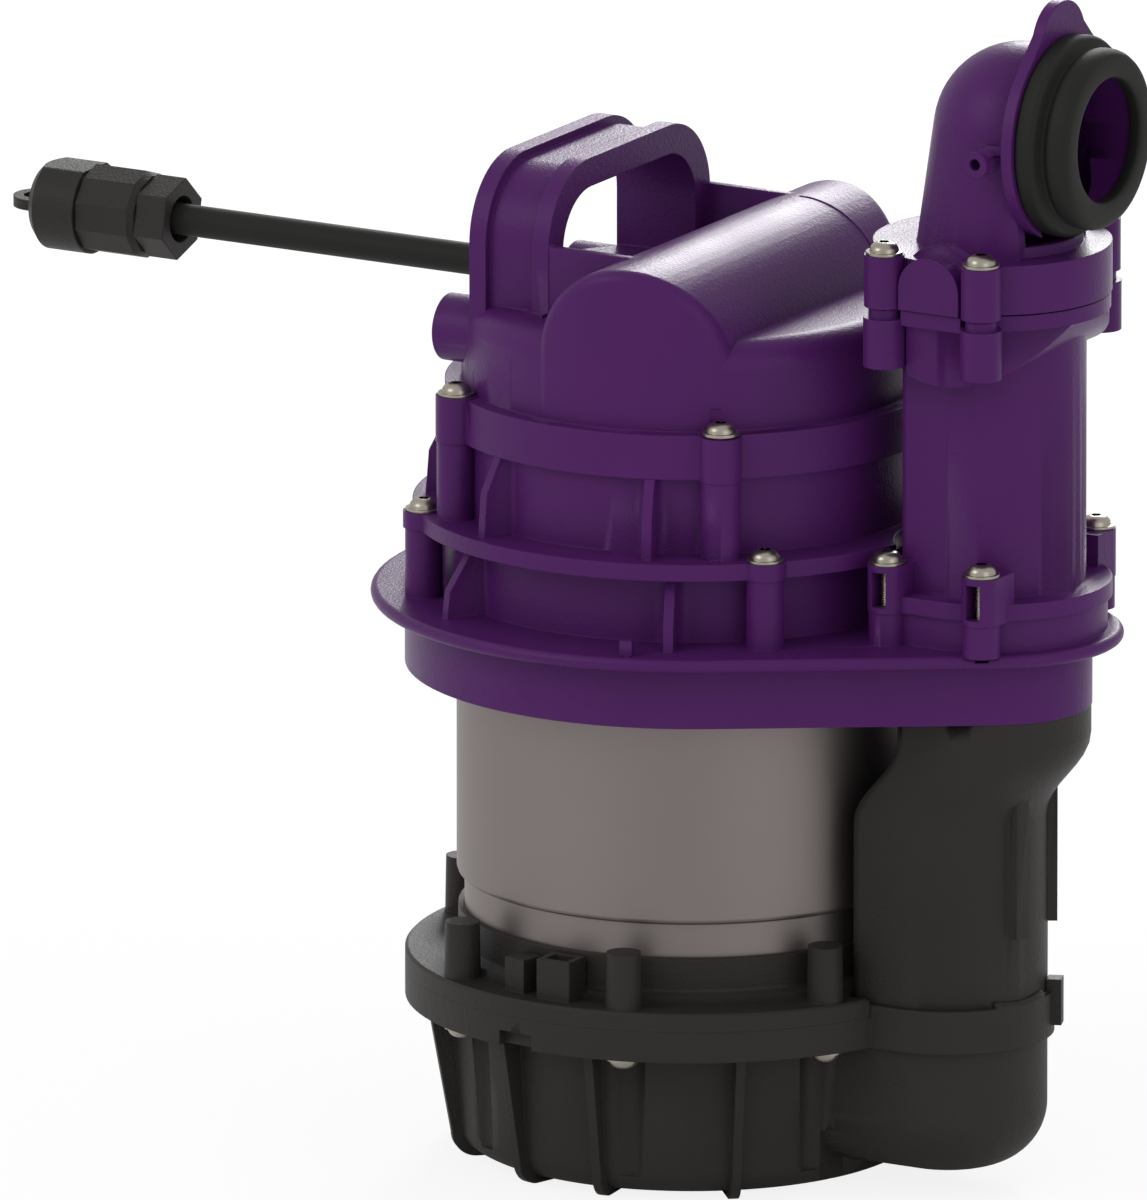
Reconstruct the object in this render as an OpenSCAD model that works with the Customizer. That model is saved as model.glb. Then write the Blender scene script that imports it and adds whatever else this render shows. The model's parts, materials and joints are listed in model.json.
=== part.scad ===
// Submersible drainage pump with a steel motor can, a moulded volute and a riser to a push-in outlet.
// Origin: centre of the suction mouth on the shaft axis. +Z up, +X towards the riser and the outlet.

/* [Volute] */
// Radius of the suction mouth
suction_r = 20; // [16:0.5:24]
// Height of the feet below the suction face
foot_h = 2; // [1:0.5:4]
// Thickness of the volute's floor
floor_t = 5; // [4:0.5:7]
// Radius of the pumping chamber
chamber_r = 68; // [64:0.5:69]
// Outer radius of the bowl at its foot
bowl_foot_r = 75.5; // [75:0.5:77]
// Outer radius of the bowl under the flange
bowl_top_r = 78.5; // [78:0.5:79.5]
// Radius of the bowl's bottom edge
bowl_round = 8; // [5:0.5:10]
// Height of the flange's underside
flange_z = 48; // [46:0.5:50]
// Thickness of the volute's flange
flange_t = 10; // [8:0.5:11]
// Radius of the flange
flange_r = 91.5; // [90.5:0.5:94]
// Thickness of the outer ribs
rib_t = 3; // [2.5:0.5:4]
// Radius to which the ribs reach under the flange
rib_top_r = 86; // [84:0.5:88]

/* [Cover plate and can] */
// Thickness of the cover plate
plate_t = 6; // [5:0.5:7]
// Height of the can's foot above the suction face
can_z = 77.7; // [76:0.1:80]
// Radius of the motor can
can_r = 75; // [74.5:0.1:75.2]
// Radius of the can's drawn-in foot
can_foot_r = 72.5; // [72:0.1:73]
// Height of the drawn-in foot
can_foot_h = 11; // [9:0.5:13]
// Wall of the can
can_wall = 1.2; // [0.8:0.1:1.6]
// Radius of the circle of the volute's screws
volute_screw_r = 84.3; // [84:0.1:85]
// Height of the screw towers above the plate
tower_h = 18; // [16:0.5:20]
// Radius of a screw tower
tower_r = 5.5; // [5:0.1:6]

/* [Riser] */
// Distance of the riser's foot from the shaft
riser_x = 94; // [93:0.5:95]
// Outer radius of the riser
riser_r = 31.7; // [31:0.1:32.5]
// Height of the volute's collar round the riser
riser_seat_z = 62; // [60:0.5:64]
// Height at which the riser starts to lean out
jog_z = 120; // [114:1:124]
// Height of the leaning stretch
jog_h = 28; // [24:1:32]
// Distance of the riser's flat back behind its middle
riser_back = 18.3; // [17.5:0.1:18.4]
// Radius of the riser's back corners
riser_corner = 4; // [3:0.5:6]
// Wall of the riser
riser_wall = 5.5; // [4.5:0.1:6.5]
// Thickness of the spigots' wall
spigot_step = 3.3; // [3:0.1:3.6]

/* [Base dish] */
// Distance of the discharge pipe from the shaft
pipe_x = 109.7; // [108:0.1:111]
// Height of the dish wall's lower edge
dish_z = 157.5; // [155:0.5:160]
// Height of the rim's underside
rim_z = 178; // [177:0.5:179]
// Thickness of the rim
rim_t = 4.5; // [4:0.1:5]
// Radius of the dish wall
dish_r = 91.5; // [90:0.5:93]
// Radius of the rim
rim_r = 102.4; // [101:0.1:104]
// Radius of the dish wall round the pipe
dish_lobe_r = 32; // [31.5:0.5:33]
// Radius of the rim round the pipe
rim_lobe_r = 42; // [41:0.5:43]
// Wall of the moulded housings
wall = 3.5; // [3:0.1:4]
// Radius of the wall above the rim
step_r = 78.7; // [78:0.1:80]

/* [Middle housing and cover] */
// Height of the ledge's underside
ledge_z = 205; // [203:0.5:207]
// Thickness of the ledge
ledge_t = 5.4; // [5:0.1:6]
// Radius of the ledge
ledge_r = 89; // [88.5:0.1:90]
// Radius of the middle housing's wall
mid_r = 75; // [74:0.5:75.5]
// Height of the joint between the middle housing and the cover
cover_z = 235.6; // [234:0.1:237]
// Height of the cover's band
band_h = 14.4; // [13.5:0.1:15]
// Radius of the cover's band
band_r = 78.7; // [78:0.1:79.5]
// Radius of the cover's wall
dome_r = 73.4; // [73:0.1:74.5]
// Height of the cover's deck
deck_z = 278; // [276:0.5:280]
// Radius of the deck's edge
deck_round = 13; // [10:0.5:15]
// Radius of the hump over the capacitor
hump_r = 39; // [37:0.5:40]
// Height of the hump's axis
hump_z = 262; // [260:0.5:263]
// Distance of the hump's axis from the shaft
hump_x = 13; // [11:0.5:15]
// Screw circle of the cover
cover_screw_r = 79.3; // [78.8:0.1:80]
// Screw circle of the ledge
ledge_screw_r = 86.9; // [86.5:0.1:87.5]

/* [Handle] */
// Height of the handle's top
handle_z = 324; // [320:0.5:330]
// Thickness of the handle's bar
handle_t = 9.4; // [8:0.1:11]
// Half length of the handle
handle_y = 51.6; // [50:0.1:53]
// Width of the handle
handle_w = 29; // [26:0.5:32]
// Distance of the handle's middle from the shaft
handle_x = -37.5; // [-39:0.5:-36]

/* [Discharge pipe and elbow] */
// Outer radius of the discharge pipe
pipe_r = 29.9; // [29.5:0.1:30.5]
// Distance of the pipe's flat back behind its axis
pipe_back = 17; // [16:0.5:19]
// Height of the joint between the dish's collar and the pipe
pipe_z = 193; // [191:0.5:194]
// Height of the joint between the pipe and the elbow
elbow_z = 292.3; // [290:0.1:295]
// Height of the outlet's axis
outlet_z = 345.6; // [344:0.1:348]
// Outer radius of the elbow's neck
neck_r = 27.5; // [27:0.1:28]
// Outer radius of the elbow's bend
bend_r = 28; // [27.5:0.1:28.5]
// Distance of the outlet's plate from the shaft
disc_x = 131.5; // [130.5:0.1:132.5]
// Thickness of the outlet's plate
disc_t = 3.8; // [3:0.1:4.5]
// Radius of the outlet's plate
disc_r = 33.7; // [33:0.1:35]
// Height of the plate's tab above the outlet's axis
tab_h = 43.4; // [41:0.1:46]
// Radius of the opening in the outlet's seal
outlet_r = 20; // [18:0.5:21]
// Outer radius of the seal's bead
bead_r = 29; // [28.5:0.1:30]

/* [Motor and rotor] */
// Radius of the shaft
shaft_r = 8; // [7:0.5:8]
// Radius of the shaft in its bearings and in the impeller
journal_r = 6; // [5.5:0.1:6.5]
// Outer radius of the rotor core
rotor_r = 32; // [30:0.5:33]
// Height of the stator core's underside
stator_z = 112; // [110:1:114]
// Length of the stator core
stator_h = 38; // [34:1:40]
// Radius of the impeller
impeller_r = 54; // [48:1:58]
// Number of impeller vanes
vanes = 6; // [5:1:8]
// Width of a vane
vane_h = 14; // [10:0.5:16]

/* [Screws] */
// Radius of the screws' thread
screw_r = 2.5; // [2.5:0.1:2.6]
// Radius of the screw heads' flange
head_r = 5.9; // [5.5:0.1:6]
// Height of the screw heads
head_h = 4; // [3.5:0.1:4.5]

/* [Lead and plug] */
// Radius of the lead
lead_r = 4.9; // [4.5:0.1:5.4]
// Distance of the glands from the symmetry plane
gland_y = 40.5; // [39:0.5:42]
// Height of the glands
gland_z = 267; // [266:0.5:268]
// Radius of the gland bosses
gland_r = 10.8; // [10:0.1:11]
// Distance of the plug's nut from the shaft
plug_x = -212; // [-220:1:-205]
// Radius of the plug's body
plug_r = 14.4; // [14:0.1:14.8]
// Radius of the plug's cap
cap_r = 15.1; // [15:0.1:16]

/* [Hidden] */
$fn = 96;
eps = 0.01;
fit = 0.1;
parting_z = flange_z + flange_t;
plate_z = parting_z + plate_t;
rim_top = rim_z + rim_t;
pocket_r = 5.6;
pocket_at = 79.5;
seat_wall_r = can_foot_r + 2;
seat_spigot_r = can_foot_r - can_wall - fit;
seat_bore_r = 66;
shield_z = can_z + can_foot_h - 1;
shield_t = 6;
bearing_r = 16;
bearing_w = 10;
lower_bearing_z = shield_z;
upper_bearing_z = rim_z - 15;
can_top = rim_z - 4;
collar_r = can_r + 4.5;
riser_top = dish_z;
spigot_r = riser_r - spigot_step;
spigot_back = riser_back - spigot_step;
duct_r = riser_r - riser_wall;
duct_back = riser_back - riser_wall + 1;
socket_r = spigot_r + fit;
socket_back = spigot_back + fit;
dish_collar_r = 38.3;
collar_out_r = riser_r + 2.2;
ledge_top = ledge_z + ledge_t;
cover_seat_z = cover_z + band_h + 0.5;
pipe_seal_t = 2;
dome_in_r = dome_r - wall;
hole_r = screw_r + fit;
boss_r = 6.7;
post_r = 6.3;
socket_af = 3.2;
thread_in = 9;
elbow_t = 16.8;
elbow_top = elbow_z + 0.5 + elbow_t;
neck_x = 111.2;
bend_x = 120.2;
neck_in_r = neck_r - wall;
bend_in_r = bend_r - wall;
spout_r = 26;
spout_in_r = 22;
spout_x = 148;
seal_front = 152.3;
flap_r = 18.5;
flap_t = 3;
seat_r = 15.5;
seat_z = elbow_z - 4.3;
flap_z = seat_z + 0.3;
hinge_y = -24.5;
hinge_z = elbow_z + 3.7;
hinge_pin_r = 1.5;
hinge_fit = 0.05;
knuckle_r = 3;
knuckle_w = 14;
hinge_room = 0.6;
pocket_w = knuckle_w + 2 * hinge_room;
arch_r = 10.9;
arch_y = 41.5;
impeller_z = 34;
hub_r = 12;
hub_h = 14;
hub_z = impeller_z - vane_h - 1;
nut_z = hub_z - 5;
seal_seat_r = 14;
base_half_x = 17.1;
base_half_y = 37;
base_seat_z = 208.5;
top_half_x = 17.6;
top_half_y = 38.5;
cap_travel = 15;
body_x = plug_x - 10.9;
cap_x = body_x - 21;
cap_l = 18;
gland_end = -66;
contact_r = 1.5;
deck_low = deck_z - deck_round;
hump_end_r = dome_r + 1.2;
rim_tab_r = rim_r - 7.9;
nozzle_x = disc_x - 7.5;
nozzle_z = outlet_z - 3.6;
nozzle_r = 4.35;
nozzle_in_r = 1.9;
nozzle_l = 13;
nozzle_root_y = 4 - bend_r;
elbow_flange_r = 38;

volute_angles = [-120, -75, -30, 30, 75, 120, 180];
rib_angles = [-137.5, -105.3, -82.8, -49.6, 49.6, 82.8, 105.3, 137.5, 165, -165];
ledge_angles = [-139, -44.7, 44.7, 139];
cover_angles = [-130.8, -53.6, 53.6, 130.8];
gusset_angles = [-160, -118.7, -64.9, 64.9, 118.7, 160];
upper_gusset_angles = [-155, -112, -70, 70, 112, 155];
lead_path = [[-62, gland_y, gland_z], [-110, gland_y, gland_z], [-160, gland_y, gland_z], [-200, gland_y, gland_z], [-226, gland_y, gland_z]];

black = [0.16, 0.15, 0.14];
purple = [0.29, 0.15, 0.34];
steel = [0.55, 0.52, 0.5];
rubber = [0.1, 0.1, 0.1];

// Helpers

// Copies of the children on a circle, at a list of angles
module around(angles, r)
{
  for (a = angles)
    rotate([0, 0, a])
      translate([r, 0, 0])
        children();
}

// Copies of the children at the four corners of a rectangle about the pipe's axis
module corners(half_x, half_y)
{
  for (sx = [-1, 1], sy = [-1, 1])
    translate([pipe_x + sx * half_x, sy * half_y, 0])
      children();
}

module tube(r_out, r_in, h)
{
  difference() {
    cylinder(r = r_out, h = h);
    translate([0, 0, -eps])
      cylinder(r = r_in, h = h + 2 * eps);
  }
}

// Flat outline of a circle and a smaller circle beside it, joined by their outer tangents
module lobed(r, lobe_r, x)
{
  a = acos((r - lobe_r) / x);
  circle(r);
  translate([x, 0])
    circle(lobe_r);
  polygon([
    [r * cos(a), r * sin(a)],
    [x + lobe_r * cos(a), lobe_r * sin(a)],
    [x + lobe_r * cos(a), -lobe_r * sin(a)],
    [r * cos(a), -r * sin(a)]
  ]);
}

// Points of a duct's outline: round on its outer side, flat-sided and square at the back
function duct_points(r, back, corner) = concat(
  [for (i = [0:36]) r * [cos(i * 5 - 90), sin(i * 5 - 90)]],
  [for (i = [0:4]) [corner - back, r - corner] + corner * [cos(90 + i * 22.5), sin(90 + i * 22.5)]],
  [for (i = [0:4]) [corner - back, corner - r] + corner * [cos(180 + i * 22.5), sin(180 + i * 22.5)]]
);

// The same outline with true arcs
module duct(r, back, corner)
{
  intersection() {
    circle(r);
    translate([0, -r])
      square([r + 1, 2 * r]);
  }
  translate([corner - back, -r])
    square([back - corner, 2 * r]);
  translate([-back, corner - r])
    square([back, 2 * (r - corner)]);
  for (s = [-1, 1])
    translate([corner - back, s * (r - corner)])
      circle(corner, $fn = 32);
}

// Ring of constant wall with a duct's outline
module duct_ring(r, back, corner, t)
{
  difference() {
    duct(r, back, corner);
    duct(r - t, back - t, corner);
  }
}

// Solid between copies of an outline at a list of [offset along X, height]
module loft(outline, stations)
{
  n = len(outline);
  points = [for (s = stations, p = outline) [p[0] + s[0], p[1], s[1]]];
  walls = [
    for (k = [0:len(stations) - 2], i = [0:n - 1])
      let (a = k * n + i, b = k * n + (i + 1) % n)
        [a, a + n, b + n, b]
  ];
  first = [for (i = [0:n - 1]) i];
  last = [for (i = [0:n - 1]) len(stations) * n - 1 - i];
  polyhedron(points, concat([first], walls, [last]));
}

// Lobed plate with a rounded edge
module rounded_lobed(r, lobe_r, x, t)
{
  bead = t / 2;
  hull()
    for (p = [[0, r], [x, lobe_r]])
      translate([p[0], 0, bead])
        rotate_extrude($fn = 96)
          translate([p[1] - bead, 0])
            circle(bead, $fn = 16);
}

// Button-head screw, head up, with its seat at the origin
module screw(length)
{
  crown_r = 0.8 * head_r;
  difference() {
    rotate_extrude($fn = 48)
      polygon([
        [0, -length], [screw_r - 0.5, -length], [screw_r, 0.5 - length], [screw_r, 0], [head_r, 0],
        [head_r, 0.25 * head_h], [crown_r, 0.35 * head_h], [0.92 * crown_r, 0.62 * head_h],
        [0.74 * crown_r, 0.85 * head_h], [0.48 * crown_r, head_h], [0, head_h]
      ]);
    translate([0, 0, 0.45 * head_h])
      cylinder(d = socket_af / cos(30), h = head_h, $fn = 6);
  }
}

// Deep-groove bearing's outer ring with its balls
module bearing_outer(z)
{
  ball_r = 2.6;
  pitch_r = (bearing_r + journal_r) / 2;
  mid_z = bearing_w / 2;
  translate([0, 0, z]) {
    rotate_extrude()
      difference() {
        translate([bearing_r - 3, 0])
          square([3, bearing_w]);
        translate([pitch_r, mid_z])
          circle(ball_r + 0.05, $fn = 32);
      }
    around([0:360 / 8:359], pitch_r)
      translate([0, 0, mid_z])
        sphere(ball_r, $fn = 24);
  }
}

// Deep-groove bearing's inner ring
module bearing_inner(z)
{
  ball_r = 2.6;
  pitch_r = (bearing_r + journal_r) / 2;
  translate([0, 0, z])
    rotate_extrude()
      difference() {
        translate([journal_r, 0])
          square([3, bearing_w]);
        translate([pitch_r, bearing_w / 2])
          circle(ball_r + 0.3, $fn = 32);
      }
}

// Volute, from below

// Radial stiffening rib with its rounded foot
module volute_rib()
{
  low_r = bowl_foot_r + 3;
  round_r = 8;
  translate([0, rib_t / 2, 0])
    rotate([90, 0, 0])
      linear_extrude(rib_t) {
        polygon([
          [50, -foot_h], [low_r - round_r, -foot_h], [low_r, round_r - foot_h], [rib_top_r, flange_z + eps],
          [chamber_r + 2, flange_z + eps], [chamber_r + 2, 2], [50, 2]
        ]);
        intersection() {
          translate([low_r - round_r, round_r - foot_h])
            circle(round_r, $fn = 64);
          translate([chamber_r - 2, -foot_h])
            square([20, 20]);
        }
      }
}

module volute_shell()
{
  rotate_extrude()
    union() {
      polygon([
        [0, 0], [bowl_foot_r - bowl_round, 0], [bowl_foot_r, bowl_round], [bowl_top_r, flange_z + eps],
        [0, flange_z + eps]
      ]);
      intersection() {
        translate([bowl_foot_r - bowl_round, bowl_round])
          circle(bowl_round, $fn = 64);
        square([bowl_foot_r, bowl_round]);
      }
    }
}

// Scroll under the riser, flat-sided, with a rounded bottom edge
module scroll_end()
{
  low_z = 5;
  round_r = 20;
  translate([riser_x, 0, 0]) {
    translate([0, 0, low_z + round_r])
      cylinder(r = riser_r, h = flange_z - low_z - round_r + 1);
    translate([0, 0, low_z + round_r])
      rotate_extrude()
        intersection() {
          union() {
            translate([riser_r - round_r, 0])
              circle(round_r, $fn = 64);
            translate([0, -round_r])
              square([riser_r - round_r, round_r]);
          }
          translate([0, -round_r])
            square([riser_r, round_r + eps]);
        }
  }
  translate([50, 0, 0])
    rotate([90, 0, 90])
      linear_extrude(riser_x - 50) {
        translate([-riser_r, low_z + round_r])
          square([2 * riser_r, flange_z - low_z - round_r + 1]);
        translate([round_r - riser_r, low_z])
          square([2 * (riser_r - round_r), round_r + 1]);
        for (s = [-1, 1])
          translate([s * (riser_r - round_r), low_z + round_r])
            circle(round_r, $fn = 64);
      }
  for (p = [[48.5, -5.7], [76.5, 40], [76.5, -40], [48.5, 5.7]])
    translate([p[0] * 0.96, p[1] * 0.7, -foot_h])
      cylinder(r = 9, h = 20);
}

// Slanted guide on the collar's outer side
module wedge_clip()
{
  translate([riser_x, 0, flange_z])
    rotate([0, 0, -14])
      translate([riser_r - 1, 11, 0])
        rotate([90, 0, 0])
          linear_extrude(22)
            polygon([[0, 2], [3.2, 3], [6, 12], [0, 16]]);
}

module volute()
{
  color(black)
    difference() {
      union() {
        difference() {
          union() {
            volute_shell();
            scroll_end();
            around(rib_angles, 0)
              volute_rib();
          }
          around(volute_angles, pocket_at)
            translate([0, 0, bowl_round - 2])
              cylinder(r = pocket_r, h = flange_z);
        }
        translate([0, 0, flange_z])
          cylinder(r = flange_r, h = flange_t);
        translate([riser_x, 0, flange_z])
          linear_extrude(riser_seat_z - flange_z)
            duct(collar_out_r, riser_back, riser_corner);
        wedge_clip();
        translate([riser_x, 0, flange_z + 3])
          rotate([0, 0, 22])
            translate([riser_r - 1, -3, 0])
              cube([6, 6, 15]);
      }
      translate([0, 0, floor_t])
        cylinder(r = chamber_r, h = parting_z);
      translate([0, 0, -eps])
        cylinder(r = suction_r, h = floor_t + 1);
      translate([riser_x, 0, floor_t + 10])
        cylinder(r = duct_r - 3, h = parting_z);
      translate([40, 0, floor_t + 10 + 18])
        rotate([0, 90, 0])
          cylinder(r = 17, h = riser_x - 40);
      translate([riser_x, 0, flange_z + 2])
        linear_extrude(parting_z)
          duct(socket_r, socket_back, riser_corner);
      translate([riser_x, 0, riser_seat_z])
        linear_extrude(parting_z)
          duct(riser_r + 0.3, riser_back + 0.3, riser_corner);
      around(volute_angles, volute_screw_r)
        translate([0, 0, flange_z - 1])
          cylinder(r = hole_r, h = flange_t + 2);
      rotate([0, 0, -98])
        translate([flange_r - 4, -6.5, flange_z - eps])
          cube([8, 13, 5]);
      translate([0, 0, parting_z - 2])
        tube(chamber_r + 6, chamber_r + 3, 3);
    }
}

module volute_seal()
{
  color(rubber)
    translate([0, 0, parting_z - 2])
      tube(chamber_r + 6, chamber_r + 3, 2);
}

module volute_screws()
{
  color(steel)
    around(volute_angles, volute_screw_r)
      translate([0, 0, flange_z])
        mirror([0, 0, 1])
          screw(flange_t + plate_t + thread_in);
}

// Cover plate of the volute, seat of the motor can

module cover_plate()
{
  color(black)
    difference() {
      union() {
        rotate_extrude()
          polygon([
            [seal_seat_r, parting_z], [flange_r, parting_z], [flange_r, plate_z - 0.8],
            [flange_r - 0.8, plate_z], [seat_wall_r + 4.5, plate_z], [seat_wall_r + 3.5, plate_z + 2],
            [seat_wall_r + 0.5, plate_z + 2.6], [seat_wall_r, plate_z + 4], [seat_wall_r, can_z],
            [seat_spigot_r, can_z], [seat_spigot_r, shield_z], [seat_bore_r, shield_z],
            [seat_bore_r, plate_z], [22, plate_z], [22, plate_z + 8], [seal_seat_r, plate_z + 8]
          ]);
        around(volute_angles, volute_screw_r)
          translate([0, 0, parting_z])
            cylinder(r1 = tower_r + 0.4, r2 = tower_r, h = plate_t + tower_h);
        rotate([0, 0, -91])
          translate([seat_wall_r + 1, -6, plate_z - eps])
            cube([10.5, 12, 13]);
        rotate([0, 0, -102])
          translate([seat_wall_r + 1, -4, plate_z - eps])
            cube([9, 8, 11]);
      }
      translate([riser_x, 0, parting_z - eps])
        linear_extrude(plate_t + tower_h + 1)
          duct(collar_out_r + 0.3, riser_back + 0.3, riser_corner);
      around(volute_angles, volute_screw_r)
        translate([0, 0, parting_z - eps])
          cylinder(r = hole_r, h = plate_t + thread_in + 1);
      rotate([0, 0, -91])
        translate([seat_wall_r + 3, -4, plate_z + 3])
          cube([6.5, 8, 13]);
      translate([0, 0, can_z + 4])
        tube(seat_spigot_r + 1, seat_spigot_r - 1.5, 3);
    }
}

// Riser beside the motor can

// Offset of the riser's middle from its foot, by height: an even, rounded step
function riser_lean(z) =
  let (f = min(1, max(0, (z - jog_z) / jog_h)))
    (pipe_x - riser_x) * (1 - cos(180 * f)) / 2;

function riser_stations(low, high) = concat(
  [[riser_x, low]],
  [for (i = [0:8]) [riser_x + riser_lean(jog_z + i * jog_h / 8), jog_z + i * jog_h / 8]],
  [[pipe_x, high]]
);

module riser()
{
  color(black)
    difference() {
      union() {
        loft(duct_points(riser_r, riser_back, riser_corner), riser_stations(riser_seat_z, riser_top));
        translate([riser_x, 0, flange_z + 3])
          linear_extrude(riser_seat_z - flange_z)
            duct(spigot_r, spigot_back, riser_corner);
        translate([pipe_x, 0, riser_top - 2])
          linear_extrude(rim_z - riser_top + 1)
            duct(spigot_r, spigot_back, riser_corner);
        for (a = [-17.5, 30])
          translate([riser_x, 0, riser_seat_z + 22])
            rotate([0, 0, a])
              translate([riser_r - 3, -2.7, 0])
                cube([6, 5.4, jog_z + 12 - riser_seat_z - 22]);
      }
      loft(duct_points(duct_r, duct_back, riser_corner), riser_stations(flange_z, rim_z + 5));
      for (p = [[riser_x, flange_z + 6], [pipe_x, riser_top + 6]])
        translate([p[0], 0, p[1]])
          linear_extrude(2.4)
            duct_ring(spigot_r + 1, spigot_back + 1, riser_corner, 2.2);
    }
}

module riser_seals()
{
  color(rubber)
    for (p = [[riser_x, flange_z + 6], [pipe_x, riser_top + 6]])
      translate([p[0], 0, p[1]])
        linear_extrude(2.4)
          duct_ring(spigot_r + fit / 2, spigot_back + fit / 2, riser_corner, 1.2 + fit / 2);
}

// Shaft seal, impeller and rotor

module seal_seat()
{
  color("lightgrey")
    translate([0, 0, parting_z])
      tube(seal_seat_r, shaft_r + 0.8, 6);
}

module seal_ring()
{
  color("dimgray")
    translate([0, 0, parting_z - 5])
      tube(12, shaft_r, 4.9);
}

module seal_spring()
{
  low = impeller_z + hub_h - 2;
  high = parting_z - 5;
  step = (high - low) / 6;
  color(steel)
    rotate_extrude()
      polygon(concat(
        [[shaft_r, low]],
        [for (i = [0:6]) [i % 2 == 0 ? 11.5 : 10, low + i * step]],
        [[shaft_r, high]]
      ));
}

module vane()
{
  bend_r = 40;
  translate([0, 0, impeller_z - vane_h])
    intersection() {
      tube(impeller_r - 0.5, hub_r - 1, vane_h + 1);
      translate([hub_r - 8, bend_r, 0])
        tube(bend_r + 2, bend_r - 2, vane_h + 1);
      translate([0, -10, 0])
        cube([impeller_r, 60, vane_h + 1]);
    }
}

module impeller()
{
  color(black)
    difference() {
      union() {
        translate([0, 0, impeller_z])
          cylinder(r = impeller_r, h = 4);
        translate([0, 0, hub_z])
          cylinder(r = hub_r, h = impeller_z - hub_z + hub_h - 2);
        for (i = [0:vanes - 1])
          rotate([0, 0, i * 360 / vanes])
            vane();
      }
      translate([0, 0, hub_z - eps])
        cylinder(r = journal_r, h = impeller_z - hub_z + hub_h);
    }
}

module impeller_nut()
{
  color(steel)
    difference() {
      translate([0, 0, nut_z])
        cylinder(r = 9, h = hub_z - nut_z, $fn = 6);
      translate([0, 0, nut_z - eps])
        cylinder(r = journal_r, h = 10);
    }
}

module shaft()
{
  top_z = upper_bearing_z + bearing_w;
  hub_top = impeller_z + hub_h - 2;
  color(steel)
    rotate_extrude()
      polygon([
        [0, nut_z - 2], [journal_r - 1, nut_z - 2], [journal_r, nut_z - 1], [journal_r, hub_top],
        [shaft_r, hub_top], [shaft_r, lower_bearing_z - 2], [journal_r, lower_bearing_z - 2],
        [journal_r, lower_bearing_z + bearing_w], [shaft_r, lower_bearing_z + bearing_w],
        [shaft_r, upper_bearing_z], [journal_r, upper_bearing_z], [journal_r, top_z], [0, top_z]
      ]);
}

module rotor_core()
{
  color("gray")
    translate([0, 0, stator_z]) {
      tube(rotor_r, shaft_r, stator_h);
      for (z = [-4, stator_h])
        translate([0, 0, z])
          tube(rotor_r - 2, rotor_r - 12, 4);
    }
}

module lower_race()
{
  color(steel)
    bearing_inner(lower_bearing_z);
}

module upper_race()
{
  color(steel)
    bearing_inner(upper_bearing_z);
}

module lower_bearing()
{
  color(steel)
    bearing_outer(lower_bearing_z);
}

module upper_bearing()
{
  color(steel)
    bearing_outer(upper_bearing_z);
}

// Motor

module lower_shield()
{
  color("silver")
    difference() {
      rotate_extrude()
        polygon([
          [10, shield_z - 3], [24, shield_z - 3], [24, shield_z], [can_r - can_wall - fit, shield_z],
          [can_r - can_wall - fit, shield_z + shield_t], [24, shield_z + shield_t],
          [21, lower_bearing_z + bearing_w], [bearing_r, lower_bearing_z + bearing_w],
          [bearing_r, lower_bearing_z], [10, lower_bearing_z]
        ]);
      tube(can_r + 1, can_foot_r - can_wall - fit, can_z + can_foot_h + can_wall + 1 + fit);
      around([0:60:359], 48)
        translate([0, 0, shield_z - 1])
          cylinder(r = 7, h = shield_t + 2);
    }
}

module stator_core()
{
  color("gray")
    translate([0, 0, stator_z])
      difference() {
        tube(can_r - can_wall - fit, rotor_r + 0.4, stator_h);
        around([0:15:359], 54)
          translate([-9, -1.6, -eps])
            cube([16, 3.2, stator_h + 2 * eps]);
      }
}

module windings()
{
  color("peru")
    for (z = [stator_z - 11, stator_z + stator_h])
      translate([0, 0, z])
        rotate_extrude()
          union() {
            translate([42, 0])
              square([22, 11]);
            for (x = [42, 64])
              translate([x, 5.5])
                circle(5.5, $fn = 32);
          }
}

module motor_can()
{
  foot_top = can_z + can_foot_h;
  color(steel)
    rotate_extrude()
      polygon([
        [can_foot_r - can_wall, can_z], [can_foot_r, can_z], [can_foot_r, foot_top],
        [can_r - 0.9, foot_top + 0.4], [can_r - 0.3, foot_top + 0.9], [can_r, foot_top + 1.8],
        [can_r, can_top], [can_r - can_wall, can_top], [can_r - can_wall, foot_top + can_wall + 1],
        [can_foot_r - can_wall, foot_top + can_wall]
      ]);
}

module can_seals()
{
  color(rubber) {
    translate([0, 0, can_z + 4])
      tube(seat_spigot_r + fit / 2, seat_spigot_r - 1.5, 3);
    translate([0, 0, can_top - 6])
      tube(can_r + 1.4, can_r + fit / 2, 3);
  }
}

// Base dish, upper end shield of the motor

module gusset(foot_reach, foot_h, top_reach, z_low, z_high, wall_r)
{
  translate([0, 1.6, 0])
    rotate([90, 0, 0])
      linear_extrude(3.2)
        polygon([
          [wall_r - 2, z_low - eps], [foot_reach, z_low - eps], [foot_reach - 1, z_low + foot_h],
          [top_reach, z_high], [wall_r - 2, z_high]
        ]);
}

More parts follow.
